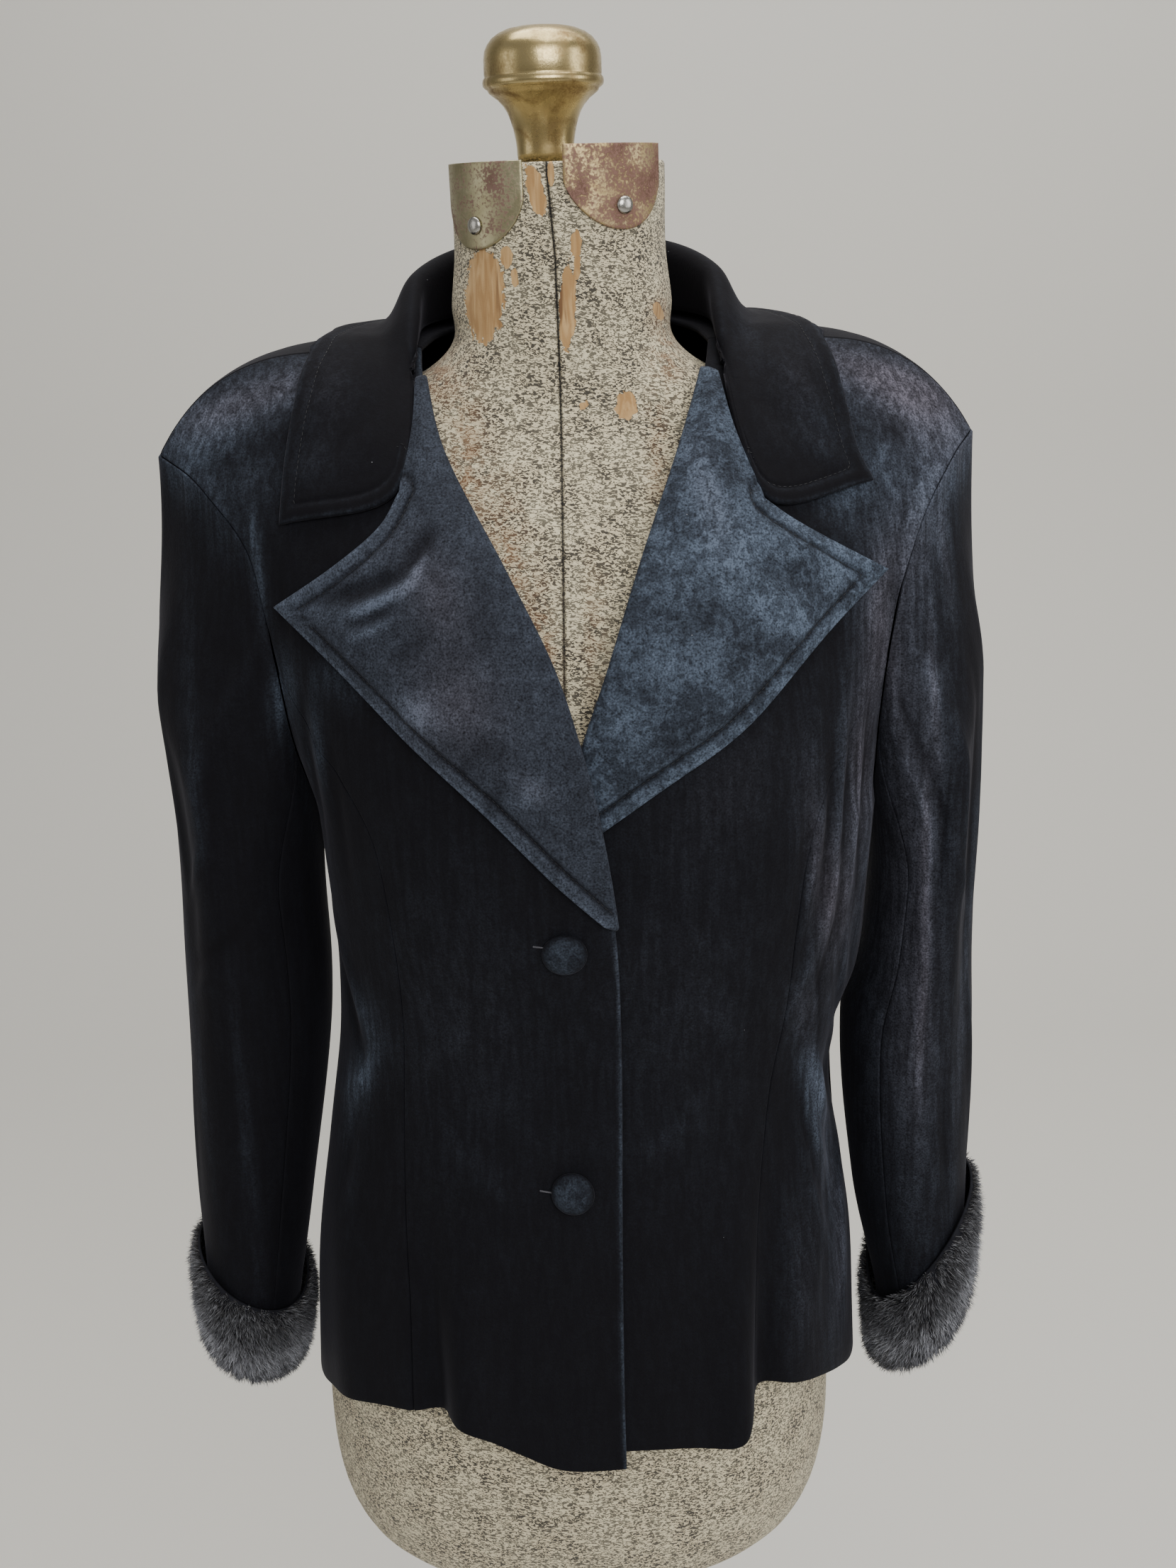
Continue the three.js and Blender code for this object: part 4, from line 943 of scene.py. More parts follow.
def fur_skin(side):
    angles = 2 * math.pi * np.arange(FUR_STEPS) / FUR_STEPS
    rings = []
    for inward in (0, FUR_THICKNESS):
        rings.append([sleeve_round(side, angles, cuff_height(side, angles, row["part"]), row["off"] - inward)
                      for row in FUR_SECTION])
    rows = len(FUR_SECTION)
    index = np.arange(2 * rows * FUR_STEPS).reshape(2, rows, FUR_STEPS)
    after = np.roll(index, -1, axis=2)
    faces = []
    for j in range(rows - 1):
        faces += np.stack([index[0, j], index[0, j + 1], after[0, j + 1], after[0, j]], -1).tolist()
        faces += np.stack([after[1, j], after[1, j + 1], index[1, j + 1], index[1, j]], -1).tolist()
    faces += np.stack([after[0, 0], after[1, 0], index[1, 0], index[0, 0]], -1).tolist()
    faces += np.stack([index[0, -1], index[1, -1], after[1, -1], after[0, -1]], -1).tolist()
    if side is LEFT:
        faces = [face[::-1] for face in faces]
    return make_mesh(f"fur_skin_{side['name']}", np.array(rings).reshape(-1, 3), faces, fur_base)


def fur_hairs(side, seed):
    """A point for each hair's root, with its heading, length, shade and spin."""
    rng = np.random.default_rng(seed)

    def clumped(values):
        return np.repeat(values, HAIRS_IN_CLUMP)

    clump_turn = rng.random(FUR_CLUMPS)
    clump_part = rng.random(FUR_CLUMPS) * 1.02
    count = FUR_CLUMPS * HAIRS_IN_CLUMP
    turns = clumped(clump_turn) + rng.normal(0, 0.0035, count)
    part = np.clip(clumped(clump_part) + rng.normal(0, 0.022, count), -0.02, 1.02)
    angle = 2 * math.pi * turns
    keys = [row["part"] for row in FUR_SECTION][::-1]
    offs = [row["off"] for row in FUR_SECTION][::-1]
    height = cuff_height(side, angle, part)
    root = sleeve_round(side, angle, height, np.interp(part, keys, offs) - HAIR_ROOT_DEPTH)
    out, back = sleeve_normal(side, angle, root[:, 2])
    outward = np.stack([side["sign"] * out, back, np.zeros(count)], -1)
    around = np.stack([-outward[:, 1], outward[:, 0], np.zeros(count)], -1)
    wind = 0.22 * np.sin(2 * math.pi * turns * 4 + part * 3) + clumped(rng.normal(0, 0.17, FUR_CLUMPS))
    fall = -0.30 - 0.75 * (1 - part) + clumped(rng.normal(0, 0.14, FUR_CLUMPS))
    rise = np.clip((part - 0.9) / 0.1, 0, 1) * 0.45
    heading = outward * (0.78 + rng.normal(0, 0.09, count)[:, None])
    heading = unit(heading + around * (wind + rng.normal(0, 0.08, count))[:, None]
                   + np.array([0, 0, 1.0]) * (fall + rise)[:, None])
    length = HAIR_LENGTH * (0.6 + 0.45 * rng.random(count)) * (1 - 0.3 * np.clip((part - 0.8) / 0.2, 0, 1))
    length = length * (1 - 0.25 * np.clip((0.15 - part) / 0.15, 0, 1))
    streak = np.exp(-((part - 0.35 - 0.05 * np.sin(angle * 3)) / 0.2) ** 2)
    shade = np.clip(0.22 + 0.5 * streak + rng.normal(0, 0.16, count), 0, 1)
    share = clumped(rng.random(FUR_CLUMPS))
    shade = np.clip(shade * (0.45 + 1.1 * share), 0, 1) ** 1.2
    hair = make_mesh(f"fur_cuff_{side['name']}_hair", root, [])
    paint(hair.data, heading=heading, long=length, shade=shade, spin=rng.random(count) * 6.28)
    return hair


def blade_mesh():
    """One hair, a metre long and a metre wide at its root, that narrows to its tip and bends over."""
    stations = [(0.0, 1.0, 0.0), (0.35, 0.95, 0.03), (0.7, 0.6, 0.14), (1.0, 0.0, 0.32)]
    points, tips = [], []
    for height, width, bend in stations[:-1]:
        points += [(-width / 2, bend, height), (width / 2, bend, height)]
        tips += [height, height]
    points.append((0, stations[-1][2], stations[-1][0]))
    tips.append(1.0)
    faces = [(0, 1, 3, 2), (2, 3, 5, 4), (4, 5, 6)]
    mesh = bpy.data.meshes.new("fur blade")
    mesh.from_pydata(points, [], faces)
    paint(mesh, tip=tips)
    return bpy.data.objects.new("fur blade", mesh)


GEOMETRY = {"Geometry": "Geometry"}


def hair_nodes(blade):
    """The tree that stands a blade on each root."""
    tree, given, result = node_group("fur hairs", {**GEOMETRY, "Hair width": "Float"}, GEOMETRY,
                                     "GeometryNodeTree")

    def named(title, kind="FLOAT"):
        return add_node(tree, "GeometryNodeInputNamedAttribute", {"Name": title}, data_type=kind).outputs[0]

    heading = named("heading", "FLOAT_VECTOR")
    long = named("long")
    aimed = add_node(tree, "FunctionNodeAlignRotationToVector", {"Vector": heading}, axis="Z").outputs[0]
    turn = add_node(tree, "FunctionNodeAxisAngleToRotation", {"Axis": (0, 0, 1), "Angle": named("spin")})
    spun = add_node(tree, "FunctionNodeRotateRotation", {0: aimed}, rotation_space="LOCAL")
    tree.links.new(turn.outputs[0], spun.inputs[1])
    size = add_node(tree, "ShaderNodeCombineXYZ", {0: given["Hair width"], 1: long, 2: long})
    shape = add_node(tree, "GeometryNodeObjectInfo", {0: blade})
    points = add_node(tree, "GeometryNodeMeshToPoints", {0: given["Geometry"]})
    on_points = add_node(tree, "GeometryNodeInstanceOnPoints", {
        "Points": points.outputs[0], "Instance": shape.outputs["Geometry"], "Rotation": spun.outputs[0],
        "Scale": size.outputs[0]})
    realized(tree, on_points, hair_material, result)
    return tree


def realized(tree, instances, material, result):
    real = add_node(tree, "GeometryNodeRealizeInstances", {0: instances.outputs[0]})
    shown = add_node(tree, "GeometryNodeSetMaterial", {0: real.outputs[0], "Material": material})
    tree.links.new(shown.outputs[0], result["Geometry"])


def grown(piece, tree, **inputs):
    """The piece with the tree's work turned into plain mesh. An input's name has _ for each space."""
    modifier = piece.modifiers.new(tree.name, "NODES")
    modifier.node_group = tree
    sockets = {item.name: item.identifier for item in tree.interface.items_tree if item.in_out == "INPUT"}
    for title, value in inputs.items():
        modifier[sockets[title.replace("_", " ")]] = value
    baked(piece)


def baked(piece):
    """The piece with its modifiers turned into plain mesh."""
    bpy.context.view_layer.update()
    made = bpy.data.meshes.new_from_object(piece.evaluated_get(bpy.context.evaluated_depsgraph_get()))
    made.name = piece.name
    piece.modifiers.clear()
    piece.data = made


blade = blade_mesh()
hair_tree = hair_nodes(blade)
for side, seed in ((RIGHT, 11), (LEFT, 12)):
    skin = fur_skin(side)
    hair = fur_hairs(side, seed)
    grown(hair, hair_tree, Hair_width=HAIR_WIDTH)
    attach(skin, "root")
    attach(hair, "root")
    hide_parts(f"fur_cuff_{side['name']}")
bpy.data.objects.remove(blade)


# The lapels: wide notched lapels rolled back from the button, their pile crushed and given a brighter,
# bluer painted sheen than the body's. The roll is a soft bend round the front's edge, and the edge is
# stitched 9 mm in.
LAPEL_RIGHT = table("at roll out z corner", """
    0 924 -12 926
    .12 945 12 950
    .24 972 46 987
    .36 1000 86 1023
    .46 1030 121 1055
    .56 1064 157 1084 all
    .66 1096 122 1107
    .74 1124 98 1126
    .82 1152 87 1143 all
    .92 1176 81 1172
    1 1196 80 1195
""")
LAPEL_LEFT = table("at roll out z corner", """
    0 962 -3 966
    .12 980 18 981
    .24 1002 48 1001
    .36 1026 86 1027
    .46 1052 127 1065
    .56 1080 164 1094 all
    .66 1106 132 1112
    .74 1130 112 1124
    .82 1155 98 1134 all
    .92 1178 85 1168
    1 1196 79 1194
""")
LAPEL_EDGE_LIFT = CLOTH + 2.1
LAPEL_BULGE, LAPEL_BULGE_FROM, LAPEL_BULGE_TO = 5, 975, 1045
LAPEL_BULGE_SKEW = 1.15
LAPEL_NARROW = 1 / 3
LAPEL_STEPS = 38
LAPEL_ROLL_STEPS = 12
ROLL_DEPTH = 0.9
LAPEL_GROUND_PAINTED_SHEEN = 0.19
EDGE_STITCH_IN = 9

# Folds and dents pressed into the lapels: (x, z) to (x, z)
LAPEL_CREASES = table("side a z_a b z_b width lift", """
    right -60 1131 -80 1105 4.2 -2.4
    right -76 1108 -126 1089 4.2 -2.6
    right -66 1118 -78 1097 2.8 2.2
    right -75 1101 -110 1084 2.8 2.6
    right -80 1088 -112 1073 2.8 1.9
    right -82 1093 -108 1080 2.6 -1.4
    right -60 1080 -90 1062 5 -1.2
    right -58 1052 -84 1032 5 1.4
    right -34 1030 -56 1008 5 -1.2
    right -30 1010 -44 980 5 -1
    right -8 1006 -30 990 5 1.2
    left 102 1124 150 1100 5 1.8
    left 96 1112 140 1086 5 -1.6
    left 104 1094 128 1070 5 1.5
    left 84 1090 104 1058 5 -1.3
    left 70 1066 88 1036 5 1.3
    left 50 1040 64 1010 5 -1.1
""")
# Painted sheen on the lapels: a value below zero is a painted shade line along a trough
LAPEL_MARKS = table("x z wide tall turn nap warm", """
    -97 1090 13 2.4 24 .42 0
    -80 1099 10 2.6 37 .36 0
    -70 1108 8 2.6 62 .28 0
    -97 1078 12 2.2 26 .26 0
    -124 1091 18 10 30 .2 0
    -92 1116 22 4 36 .1 .1
    -74 1039 13 8 -42 .44 0
    -16 1004 12 7 -36 .2 .2
    -60 1098 16 26 20 .08 .5
    -52 1045 24 26 40 .1 .5
    -70 1117 11 3.2 54 -.2 0
    -88 1103 12 3.2 32 -.22 0
    -110 1094 12 3 16 -.2 0
    -92 1085 12 2.4 26 -.12 0
    -54 1068 16 7 40 -.11 0
    -36 1092 8 22 20 -.08 0
    -30 1022 16 6 -40 -.08 0
    -44 1026 9 8 0 -.1 0
    78 1140 9 26 14 .3 .2
    98 1104 26 13 -34 .4 0
    88 1120 16 12 -30 .24 0
    120 1074 20 10 -40 .34 0
    62 1100 20 16 -20 .14 0
    52 1062 18 14 -36 .12 0
    32 1034 9 9 0 .34 0
    146 1098 12 8 0 .28 0
    96 1070 9 7 0 -.2 0
    67 1083 12 8 20 -.32 0
    88 1148 7 8 0 -.26 0
    122 1104 9 4 0 -.2 0
    44 1050 8 6 0 -.14 0
    60 1022 16 6 38 -.2 0
    50 1090 8 10 0 -.14 0
""")


def up_of_roll(z):
    ups = np.linspace(0.3, 1, 4001)
    return np.interp(z, column_at(FRONT_ROWS, "up", "edge_z", ups), ups)


def place_on_front(side, out, z):
    out, z = np.broadcast_arrays(np.asarray(out, float), np.asarray(z, float))
    across, up = np.full(out.shape, 0.4), up_of_roll(z)
    step = 0.001

    def miss(a, b):
        point = body_point(FRONT_ROWS, side, a, b)
        return (point[..., 0] - lean(point[..., 2])) * side["sign"] - out, point[..., 2] - z

    for _ in range(20):
        miss_out, miss_z = miss(across, up)
        out_a, z_a = miss(across + step, up)
        out_b, z_b = miss(across, up + step)
        a, b = (out_a - miss_out) / step, (out_b - miss_out) / step
        c, d = (z_a - miss_z) / step, (z_b - miss_z) / step
        size = a * d - b * c
        across = across - np.clip((d * miss_out - b * miss_z) / size, -0.2, 0.2)
        up = np.minimum(up - np.clip((a * miss_z - c * miss_out) / size, -0.1, 0.1), 1)
    return across, up


def lapel_sheet(side, rows, across, at):
    roll = up_of_roll(column_at(rows, "at", "roll", at))
    edge_across, edge_up = place_on_front(side, column_at(rows, "at", "out", at),
                                          column_at(rows, "at", "z", at))
    a = edge_across * across
    b = lerp(roll, edge_up, across)
    point = body_point(FRONT_ROWS, side, a, b)
    high = ease((point[..., 2] - LAPEL_BULGE_FROM) / (LAPEL_BULGE_TO - LAPEL_BULGE_FROM))
    wide = np.minimum(edge_across / LAPEL_NARROW, 1)
    swell = LAPEL_BULGE * np.sin(np.pi * np.minimum(across * LAPEL_BULGE_SKEW, 1)) * high * wide
    normal = body_normal(FRONT_ROWS, side, a, b)
    return point, normal, LAPEL_EDGE_LIFT + swell


def creased(points, creases, side):
    return ridges([c for c in creases if c["side"] is side], points[..., 0], points[..., 2], 0.7)


def path_lengths(points, axis):
    steps = np.linalg.norm(np.diff(points, axis=axis), axis=-1)
    start = np.zeros_like(np.take(steps, [0], axis=axis))
    return np.concatenate([start, np.cumsum(steps, axis=axis)], axis=axis)


# Distances in from a stitched edge, closer together at the edge and along the stitches
EDGE_BAND = np.array([0, 0.2, 0.55, 1.1, 2, 3, 4, 5, 6, 6.9, 7.5, 8, 8.5, 9, 9.5, 10, 10.5, 11.2, 12.2,
                      13.6, 15.5])


def edge_relief(distance):
    """The cloth sinks along a row of stitches, and swells between it and the edge."""
    band = 0.9 * nearness(distance - EDGE_STITCH_IN * 0.52, 2.9)
    return band - 1.1 * nearness(distance - EDGE_STITCH_IN, 1.25) + 0.35 * nearness(distance - 13, 3.0)


def edge_distances(edge, thick, sheet):
    """How far each point of a sheet is from an edge's path, which is widened into a thin strip."""
    strip = [Vector(p) for q in edge for p in (q, q + np.array(thick))]
    quads = [(2 * k, 2 * k + 2, 2 * k + 3, 2 * k + 1) for k in range(len(edge) - 1)]
    tree = BVHTree.FromPolygons(strip, quads)
    return np.array([[tree.find_nearest(Vector(p))[3] for p in row] for row in sheet])


LAPEL_VELVETS = {"right": velvet_material("brushed blue-grey velvet", 0.30, 0.10, 0.4),
                 "left": velvet_material("crushed blue-grey velvet", 0.58, 0.10, 0.4)}
LAPEL_TIP, LAPEL_NOTCH = 0.56, 0.82
ROLL_BAND = 60.0
lapel_paths = {}

for side in SIDES:
    rows = LAPEL_RIGHT if side is RIGHT else LAPEL_LEFT
    steps_at = np.concatenate([np.linspace(0, LAPEL_TIP, 76), np.linspace(LAPEL_TIP, LAPEL_NOTCH, 36)[1:],
                               np.linspace(LAPEL_NOTCH, 1, 24)[1:]])
    at = steps_at[:, None]
    plain, _, _ = lapel_sheet(side, rows, np.linspace(0, 1, 24)[None, :], at)
    widths = path_lengths(plain, 1)[:, -1:]
    near_edge = np.minimum(EDGE_BAND[None, :] * np.minimum(widths / 26, 1), widths)
    inner_share = 1 - near_edge[:, -1:] / np.maximum(widths, 1)
    across_grid = np.concatenate([np.linspace(0, 1, LAPEL_STEPS + 1)[None, :-1] * inner_share,
                                  1 - near_edge[:, ::-1] / np.maximum(widths, 1)], 1)
    at_grid = np.broadcast_to(at, across_grid.shape)
    point, normal, lift = lapel_sheet(side, rows, across_grid, at_grid)
    sheet = point + normal * lift[..., None]
    along_rows = path_lengths(sheet, 1)
    in_from_edge = along_rows[:, -1:] - along_rows
    notch_row = int(np.argmin(np.abs(steps_at - LAPEL_NOTCH)))
    # Both the outer edge and the edge from tip to notch carry the stitches
    nearest = edge_distances(sheet[: notch_row + 1, -1], (0, 0.01, 0), sheet)
    roll_calm = ease((along_rows - 4) / 16)
    stitched = edge_relief(nearest) * ease(along_rows / 20) * ease((at_grid - 0.01) / 0.05)
    creases = creased(sheet, LAPEL_CREASES, side)
    total = lift + creases * roll_calm * ease((in_from_edge - 1) / 6) + stitched
    total = np.maximum(total, CLOTH + 0.6)
    outer_edge = EDGE_RADIUS - np.minimum((1 - across_grid) * widths, EDGE_RADIUS)
    fall = EDGE_RADIUS - np.sqrt(EDGE_RADIUS ** 2 - outer_edge ** 2) + edge_fall(at, 300) * (at < 0.5)
    outer = point + normal * (total - fall)[..., None]
    # The roll: a half round that starts on the front's edge and comes over on to the lapel
    edge_up = up_of_roll(column_at(rows, "at", "roll", at))[:, 0]
    base = body_point(FRONT_ROWS, side, np.zeros_like(edge_up), edge_up)
    face = body_normal(FRONT_ROWS, side, np.full_like(edge_up, 0.001), edge_up)
    top = outer[:, 0]
    rise = top - base
    radius = np.linalg.norm(rise, axis=-1, keepdims=True) / 2
    upward = unit(rise)
    inward = unit(np.cross(np.gradient(base, axis=0), upward)) * side["sign"]
    inward = inward * np.sign((inward * np.array([-side["sign"], 0, 0])).sum(-1, keepdims=True))
    angles = np.linspace(-math.pi / 2, math.pi / 2, LAPEL_ROLL_STEPS + 1)[:-1]
    middle = (base + top) / 2
    roll = np.stack([middle + upward * radius * math.sin(t) + inward * radius * math.cos(t) * ROLL_DEPTH
                     for t in angles], 1)
    whole = np.concatenate([roll, outer], 1)
    normals = sheet_normals(whole, side["sign"])
    if (normals[40, -20] * face[40]).sum() < 0:
        normals = -normals
    # Painted light on the lapels: painted highlights on ridges, painted shade in troughs and in the
    # stitches' groove, painted highlights along the edge and the band inside it, and a brighter painted
    # sheen all over, more plum-grey on the wearer's right
    nap, warm = paint_sheen_marks(whole, LAPEL_MARKS, LAPEL_GROUND_PAINTED_SHEEN)
    nap[:, roll.shape[1]:] = painted_ridge_light(nap[:, roll.shape[1]:], creases)
    from_edge = np.concatenate([np.full(roll.shape[:2], ROLL_BAND), nearest], 1)
    painted_edge_highlight = nearness(from_edge - 1.2, 1.6)
    painted_groove_shade = nearness(from_edge - EDGE_STITCH_IN, 1.6)
    painted_band_highlight = nearness(from_edge - EDGE_STITCH_IN / 2, 3.0)
    nap = (nap + (0.09 if side is RIGHT else 0.29)) * (1 - 0.75 * painted_groove_shade) * (1 + 0.35 * painted_band_highlight)
    nap = np.clip(nap + 0.26 * painted_edge_highlight, 0, 1)
    warm = np.clip(warm + (0.20 if side is RIGHT else 0.0), 0, 1)
    piece = cloth_wall(f"lapel_{side['name']}_velvet", whole, normals, VELVET_THICKNESS,
                       LAPEL_VELVETS[side["name"]], nap, warm)
    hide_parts(f"lapel_{side['name']}")
    lapel_paths[side["name"]] = (whole, normals, nearest, roll.shape[1])


# The collar: a stand round the neck, folded over at the top, with a wide fall that lies on the
# shoulders. Its velvet is nearly black, and a thin topstitch follows the outer edge.
COLLAR_ROWS = table(
    "at fold_out fold_y fold_z fall_out fall_y fall_z edge_out edge_y edge_z round stand", """
    0 0 62 1264 0 80 1244 0 88 1208 5 33
    .22 50 51 1263 66 65 1243 80 76 1208 5 33
    .44 79 10 1250 94 18 1230 115 28 1216 4.5 24
    .6 82 -20 1232 102 -13 1218 129 -4 1210 4 13.5
    .76 82 -36 1216 109 -46 1194 141 -40 1182 2.5 7
    .89 82 -42 1206 101 -78 1166 149 -60 1156 1.5 2.5
""")
COLLAR_END = {"at": 1, "fold_out": 82, "fold_y": -46, "fold_z": 1200, "round": 1, "stand": 1.2}
COLLAR_TIPS = {"right": (153, -70, 1126), "left": (159, -68, 1140)}
PAST_NOTCH = 2
COLLAR_LIFT = CLOTH + 1.8
COLLAR_STEPS_ROUND, COLLAR_STEPS_ACROSS = 130, 40
COLLAR_HALF, COLLAR_DEPTH, COLLAR_WIDTH = 320, 100, 90
COLLAR_CREASES = table("side a z_a b z_b width lift", """
    right -108 1206 -138 1166 5 1.2
    right -96 1186 -126 1150 4.5 -1.1
    right -112 1168 -146 1140 4.5 1
    left 112 1208 146 1166 5 1.3
    left 104 1188 134 1154 4.5 -1.1
    left 120 1170 152 1146 4.5 1.1
""")
# Painted sheen on the collar's fall
COLLAR_MARKS = table("x z wide tall turn nap warm", """
    -118 1196 16 26 20 .09 .5
    -126 1160 18 12 20 .12 .2
    128 1196 16 26 -20 .1 .5
    136 1166 20 12 -20 .14 .1
    104 1216 8 18 0 .1 .2
""")


def catmull_rom(points, t):
    """A smooth curve through points, its speed set by the roots of the distances between them."""
    count = len(points)
    first = points[0] * 2 - points[1]
    last = points[-1] * 2 - points[-2]
    chain = [first] + points + [last]
    place = t * (count - 1)
    whole = min(int(place), count - 2)
    weight = place - whole
    p0, p1, p2, p3 = chain[whole: whole + 4]
    d0, d1, d2 = (max(np.sqrt(np.linalg.norm(b - a)), 1e-4) for a, b in ((p0, p1), (p1, p2), (p2, p3)))
    t1 = ((p1 - p0) / d0 - (p2 - p0) / (d0 + d1) + (p2 - p1) / d1) * d1
    t2 = ((p2 - p1) / d1 - (p3 - p1) / (d1 + d2) + (p3 - p2) / d2) * d1
    c2 = -3 * p1 + 3 * p2 - 2 * t1 - t2
    c3 = 2 * p1 - 2 * p2 + t1 + t2
    return p1 + t1 * weight + c2 * weight ** 2 + c3 * weight ** 3


def collar_tables():
    tables = {}
    for side in SIDES:
        notch = [row for row in (LAPEL_RIGHT if side is RIGHT else LAPEL_LEFT) if row.get("corner")][-1]
        place = place_on_front(side, notch["out"], notch["z"])
        notch_y = float(body_point(FRONT_ROWS, side, *place)[..., 1])
        tip_out, tip_y, tip_z = COLLAR_TIPS[side["name"]]
        end = {"fall_out": notch["out"] + PAST_NOTCH, "fall_y": notch_y, "fall_z": notch["z"],
               "edge_out": tip_out, "edge_y": tip_y, "edge_z": tip_z}
        tables[side["name"]] = COLLAR_ROWS + [{**COLLAR_END, **end}]
    return tables


def body_samples():
    points, normals = [], []
    for side in SIDES:
        for rows in (FRONT_ROWS, BACK_ROWS):
            across = np.linspace(0, 1, 61)[None, :]
            up = np.linspace(0.7, 0.9995, 61)[:, None]
            across, up = np.broadcast_arrays(across, up)
            points.append(body_point(rows, side, across, up).reshape(-1, 3))
            normals.append(body_normal(rows, side, across, up).reshape(-1, 3))
    return np.concatenate(points), np.concatenate(normals)


collar_tables_by_side = collar_tables()
near_points, near_normals = body_samples()
near_tree = KDTree(len(near_points))
for number, sample in enumerate(near_points):
    near_tree.insert(sample, number)
near_tree.balance()


def kept_clear(point, lift, snap):
    nearest = near_tree.find(point)[1]
    normal = near_normals[nearest]
    height = (point - near_points[nearest]) @ normal
    share = 1 if height < lift else snap
    return point + normal * (lift - height) * share


def collar_point(across, around):
    side = RIGHT if around < 0 else LEFT
    at = abs(around)
    rows = collar_tables_by_side[side["name"]]
    row = {name: float(column_at(rows, "at", name, at)) for name in rows[0]}
    fold, fall, edge = (placed(side, row[f"{line}_out"], row[f"{line}_y"], row[f"{line}_z"])
                        for line in ("fold", "fall", "edge"))
    outward = fall - fold
    outward[2] = 0
    outward = outward / np.linalg.norm(outward)
    down = np.array([0, 0, -1.0])
    stand_top = fold - outward * row["round"] + down * row["round"]
    neck = stand_top + outward * row["round"] * 0.3 + down * row["stand"]
    past = fold + outward * row["round"] * 1.6 + down * row["round"] * 0.5
    point = catmull_rom([neck, stand_top, fold, past, fall, edge], across)
    if across < 0.45 and at < 0.7:
        return point
    snap = ease((at - 0.6) / 0.4) * ease((across - 0.5) / 0.3)
    ridge = 2.4 * nearness(at - 0.58, 0.2)
    return kept_clear(point, COLLAR_LIFT + ridge, snap)


ends = 1 - EDGE_BAND / COLLAR_HALF
rounds = np.concatenate([-ends, np.linspace(-ends[-1], ends[-1], COLLAR_STEPS_ROUND + 1)[1:-1], ends[::-1]])
edges = 1 - EDGE_BAND / COLLAR_DEPTH
acrosses = np.concatenate([np.linspace(0, edges[-1], COLLAR_STEPS_ACROSS + 1)[:-1], edges[::-1]])
sheet = np.array([[collar_point(a, r) for a in acrosses] for r in rounds])
for _ in range(3):
    inner = sheet[1:-1, 1:-1]
    around = (sheet[:-2, 1:-1] + sheet[2:, 1:-1] + sheet[1:-1, :-2] + sheet[1:-1, 2:]) / 4
    lying = (acrosses[1:-1] > 0.45)[None, :, None]
    sheet[1:-1, 1:-1] = np.where(lying, inner * 0.5 + around * 0.5, inner)
normals = sheet_normals(sheet, -1)
from_edge = edge_distances(sheet[:, -1], (0, 0, 0.01), sheet)
for end in (0, -1):
    fall_end = path_lengths(sheet, 0)
    along = fall_end if end == 0 else fall_end[-1:] - fall_end
    on_fall = (acrosses > 0.72)[None, :]
    from_edge = np.where(on_fall, np.minimum(from_edge, along), from_edge)
on_fall = ease((acrosses - 0.5) / 0.15)[None, :]
creases = np.where(sheet[..., 0] < LEAN, creased(sheet, COLLAR_CREASES, RIGHT),
                   creased(sheet, COLLAR_CREASES, LEFT))
back_waver = 0.6 * np.sin(sheet[..., 0] / 21 + 1.1) * np.sin(sheet[..., 0] / 9 + sheet[..., 2] / 17)
lift = 0.5 * edge_relief(from_edge) + creases * ease(from_edge / 12) + back_waver * (sheet[..., 1] > 0)
lift = lift * on_fall
fall = edge_fall(acrosses[None, :], COLLAR_WIDTH) * (acrosses > 0.5)
fall = fall + edge_fall((rounds[:, None] + 1) / 2, 2 * COLLAR_HALF)
outer = sheet + normals * (lift - fall)[..., None]
# Painted sheen on the collar, brighter on ridges, darker in troughs and fading towards the back, with
# painted highlights along the fold, the edge and the band inside the stitches
nap, warm = paint_sheen_marks(outer, COLLAR_MARKS, GROUND_PAINTED_SHEEN)
nap = painted_ridge_light(nap, creases) * 0.45 * ease((45 - sheet[..., 1]) / 50)
nap = nap + 0.02 * nearness(acrosses - 0.42, 0.08)[None, :] + 0.07 * nearness(from_edge - 1.0, 1.2)
nap = np.clip(nap + 0.03 * nearness(from_edge - 7.5, 1.2) * on_fall, 0, 1)
collar = cloth_wall("collar_velvet", outer, normals, VELVET_THICKNESS, velvet, nap, warm)
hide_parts("collar")
collar_sheet = (outer, normals, from_edge, acrosses)


# The stitching: a row of short dark machine stitches 9 mm in from the edges of the lapels and the
# collar, and the bars that end the two buttonholes, in a paler thread.
STITCH_PITCH = 0.003
STITCH_LENGTH = 0.0021
STITCH_WIDTH = 0.00042
thread, _, _ = new_material("dark thread", Base_Color=(0.006, 0.007, 0.010, 1), Roughness=0.6)
pale_thread, _, _ = new_material("pale thread", Base_Color=(0.075, 0.075, 0.09, 1), Roughness=0.6)


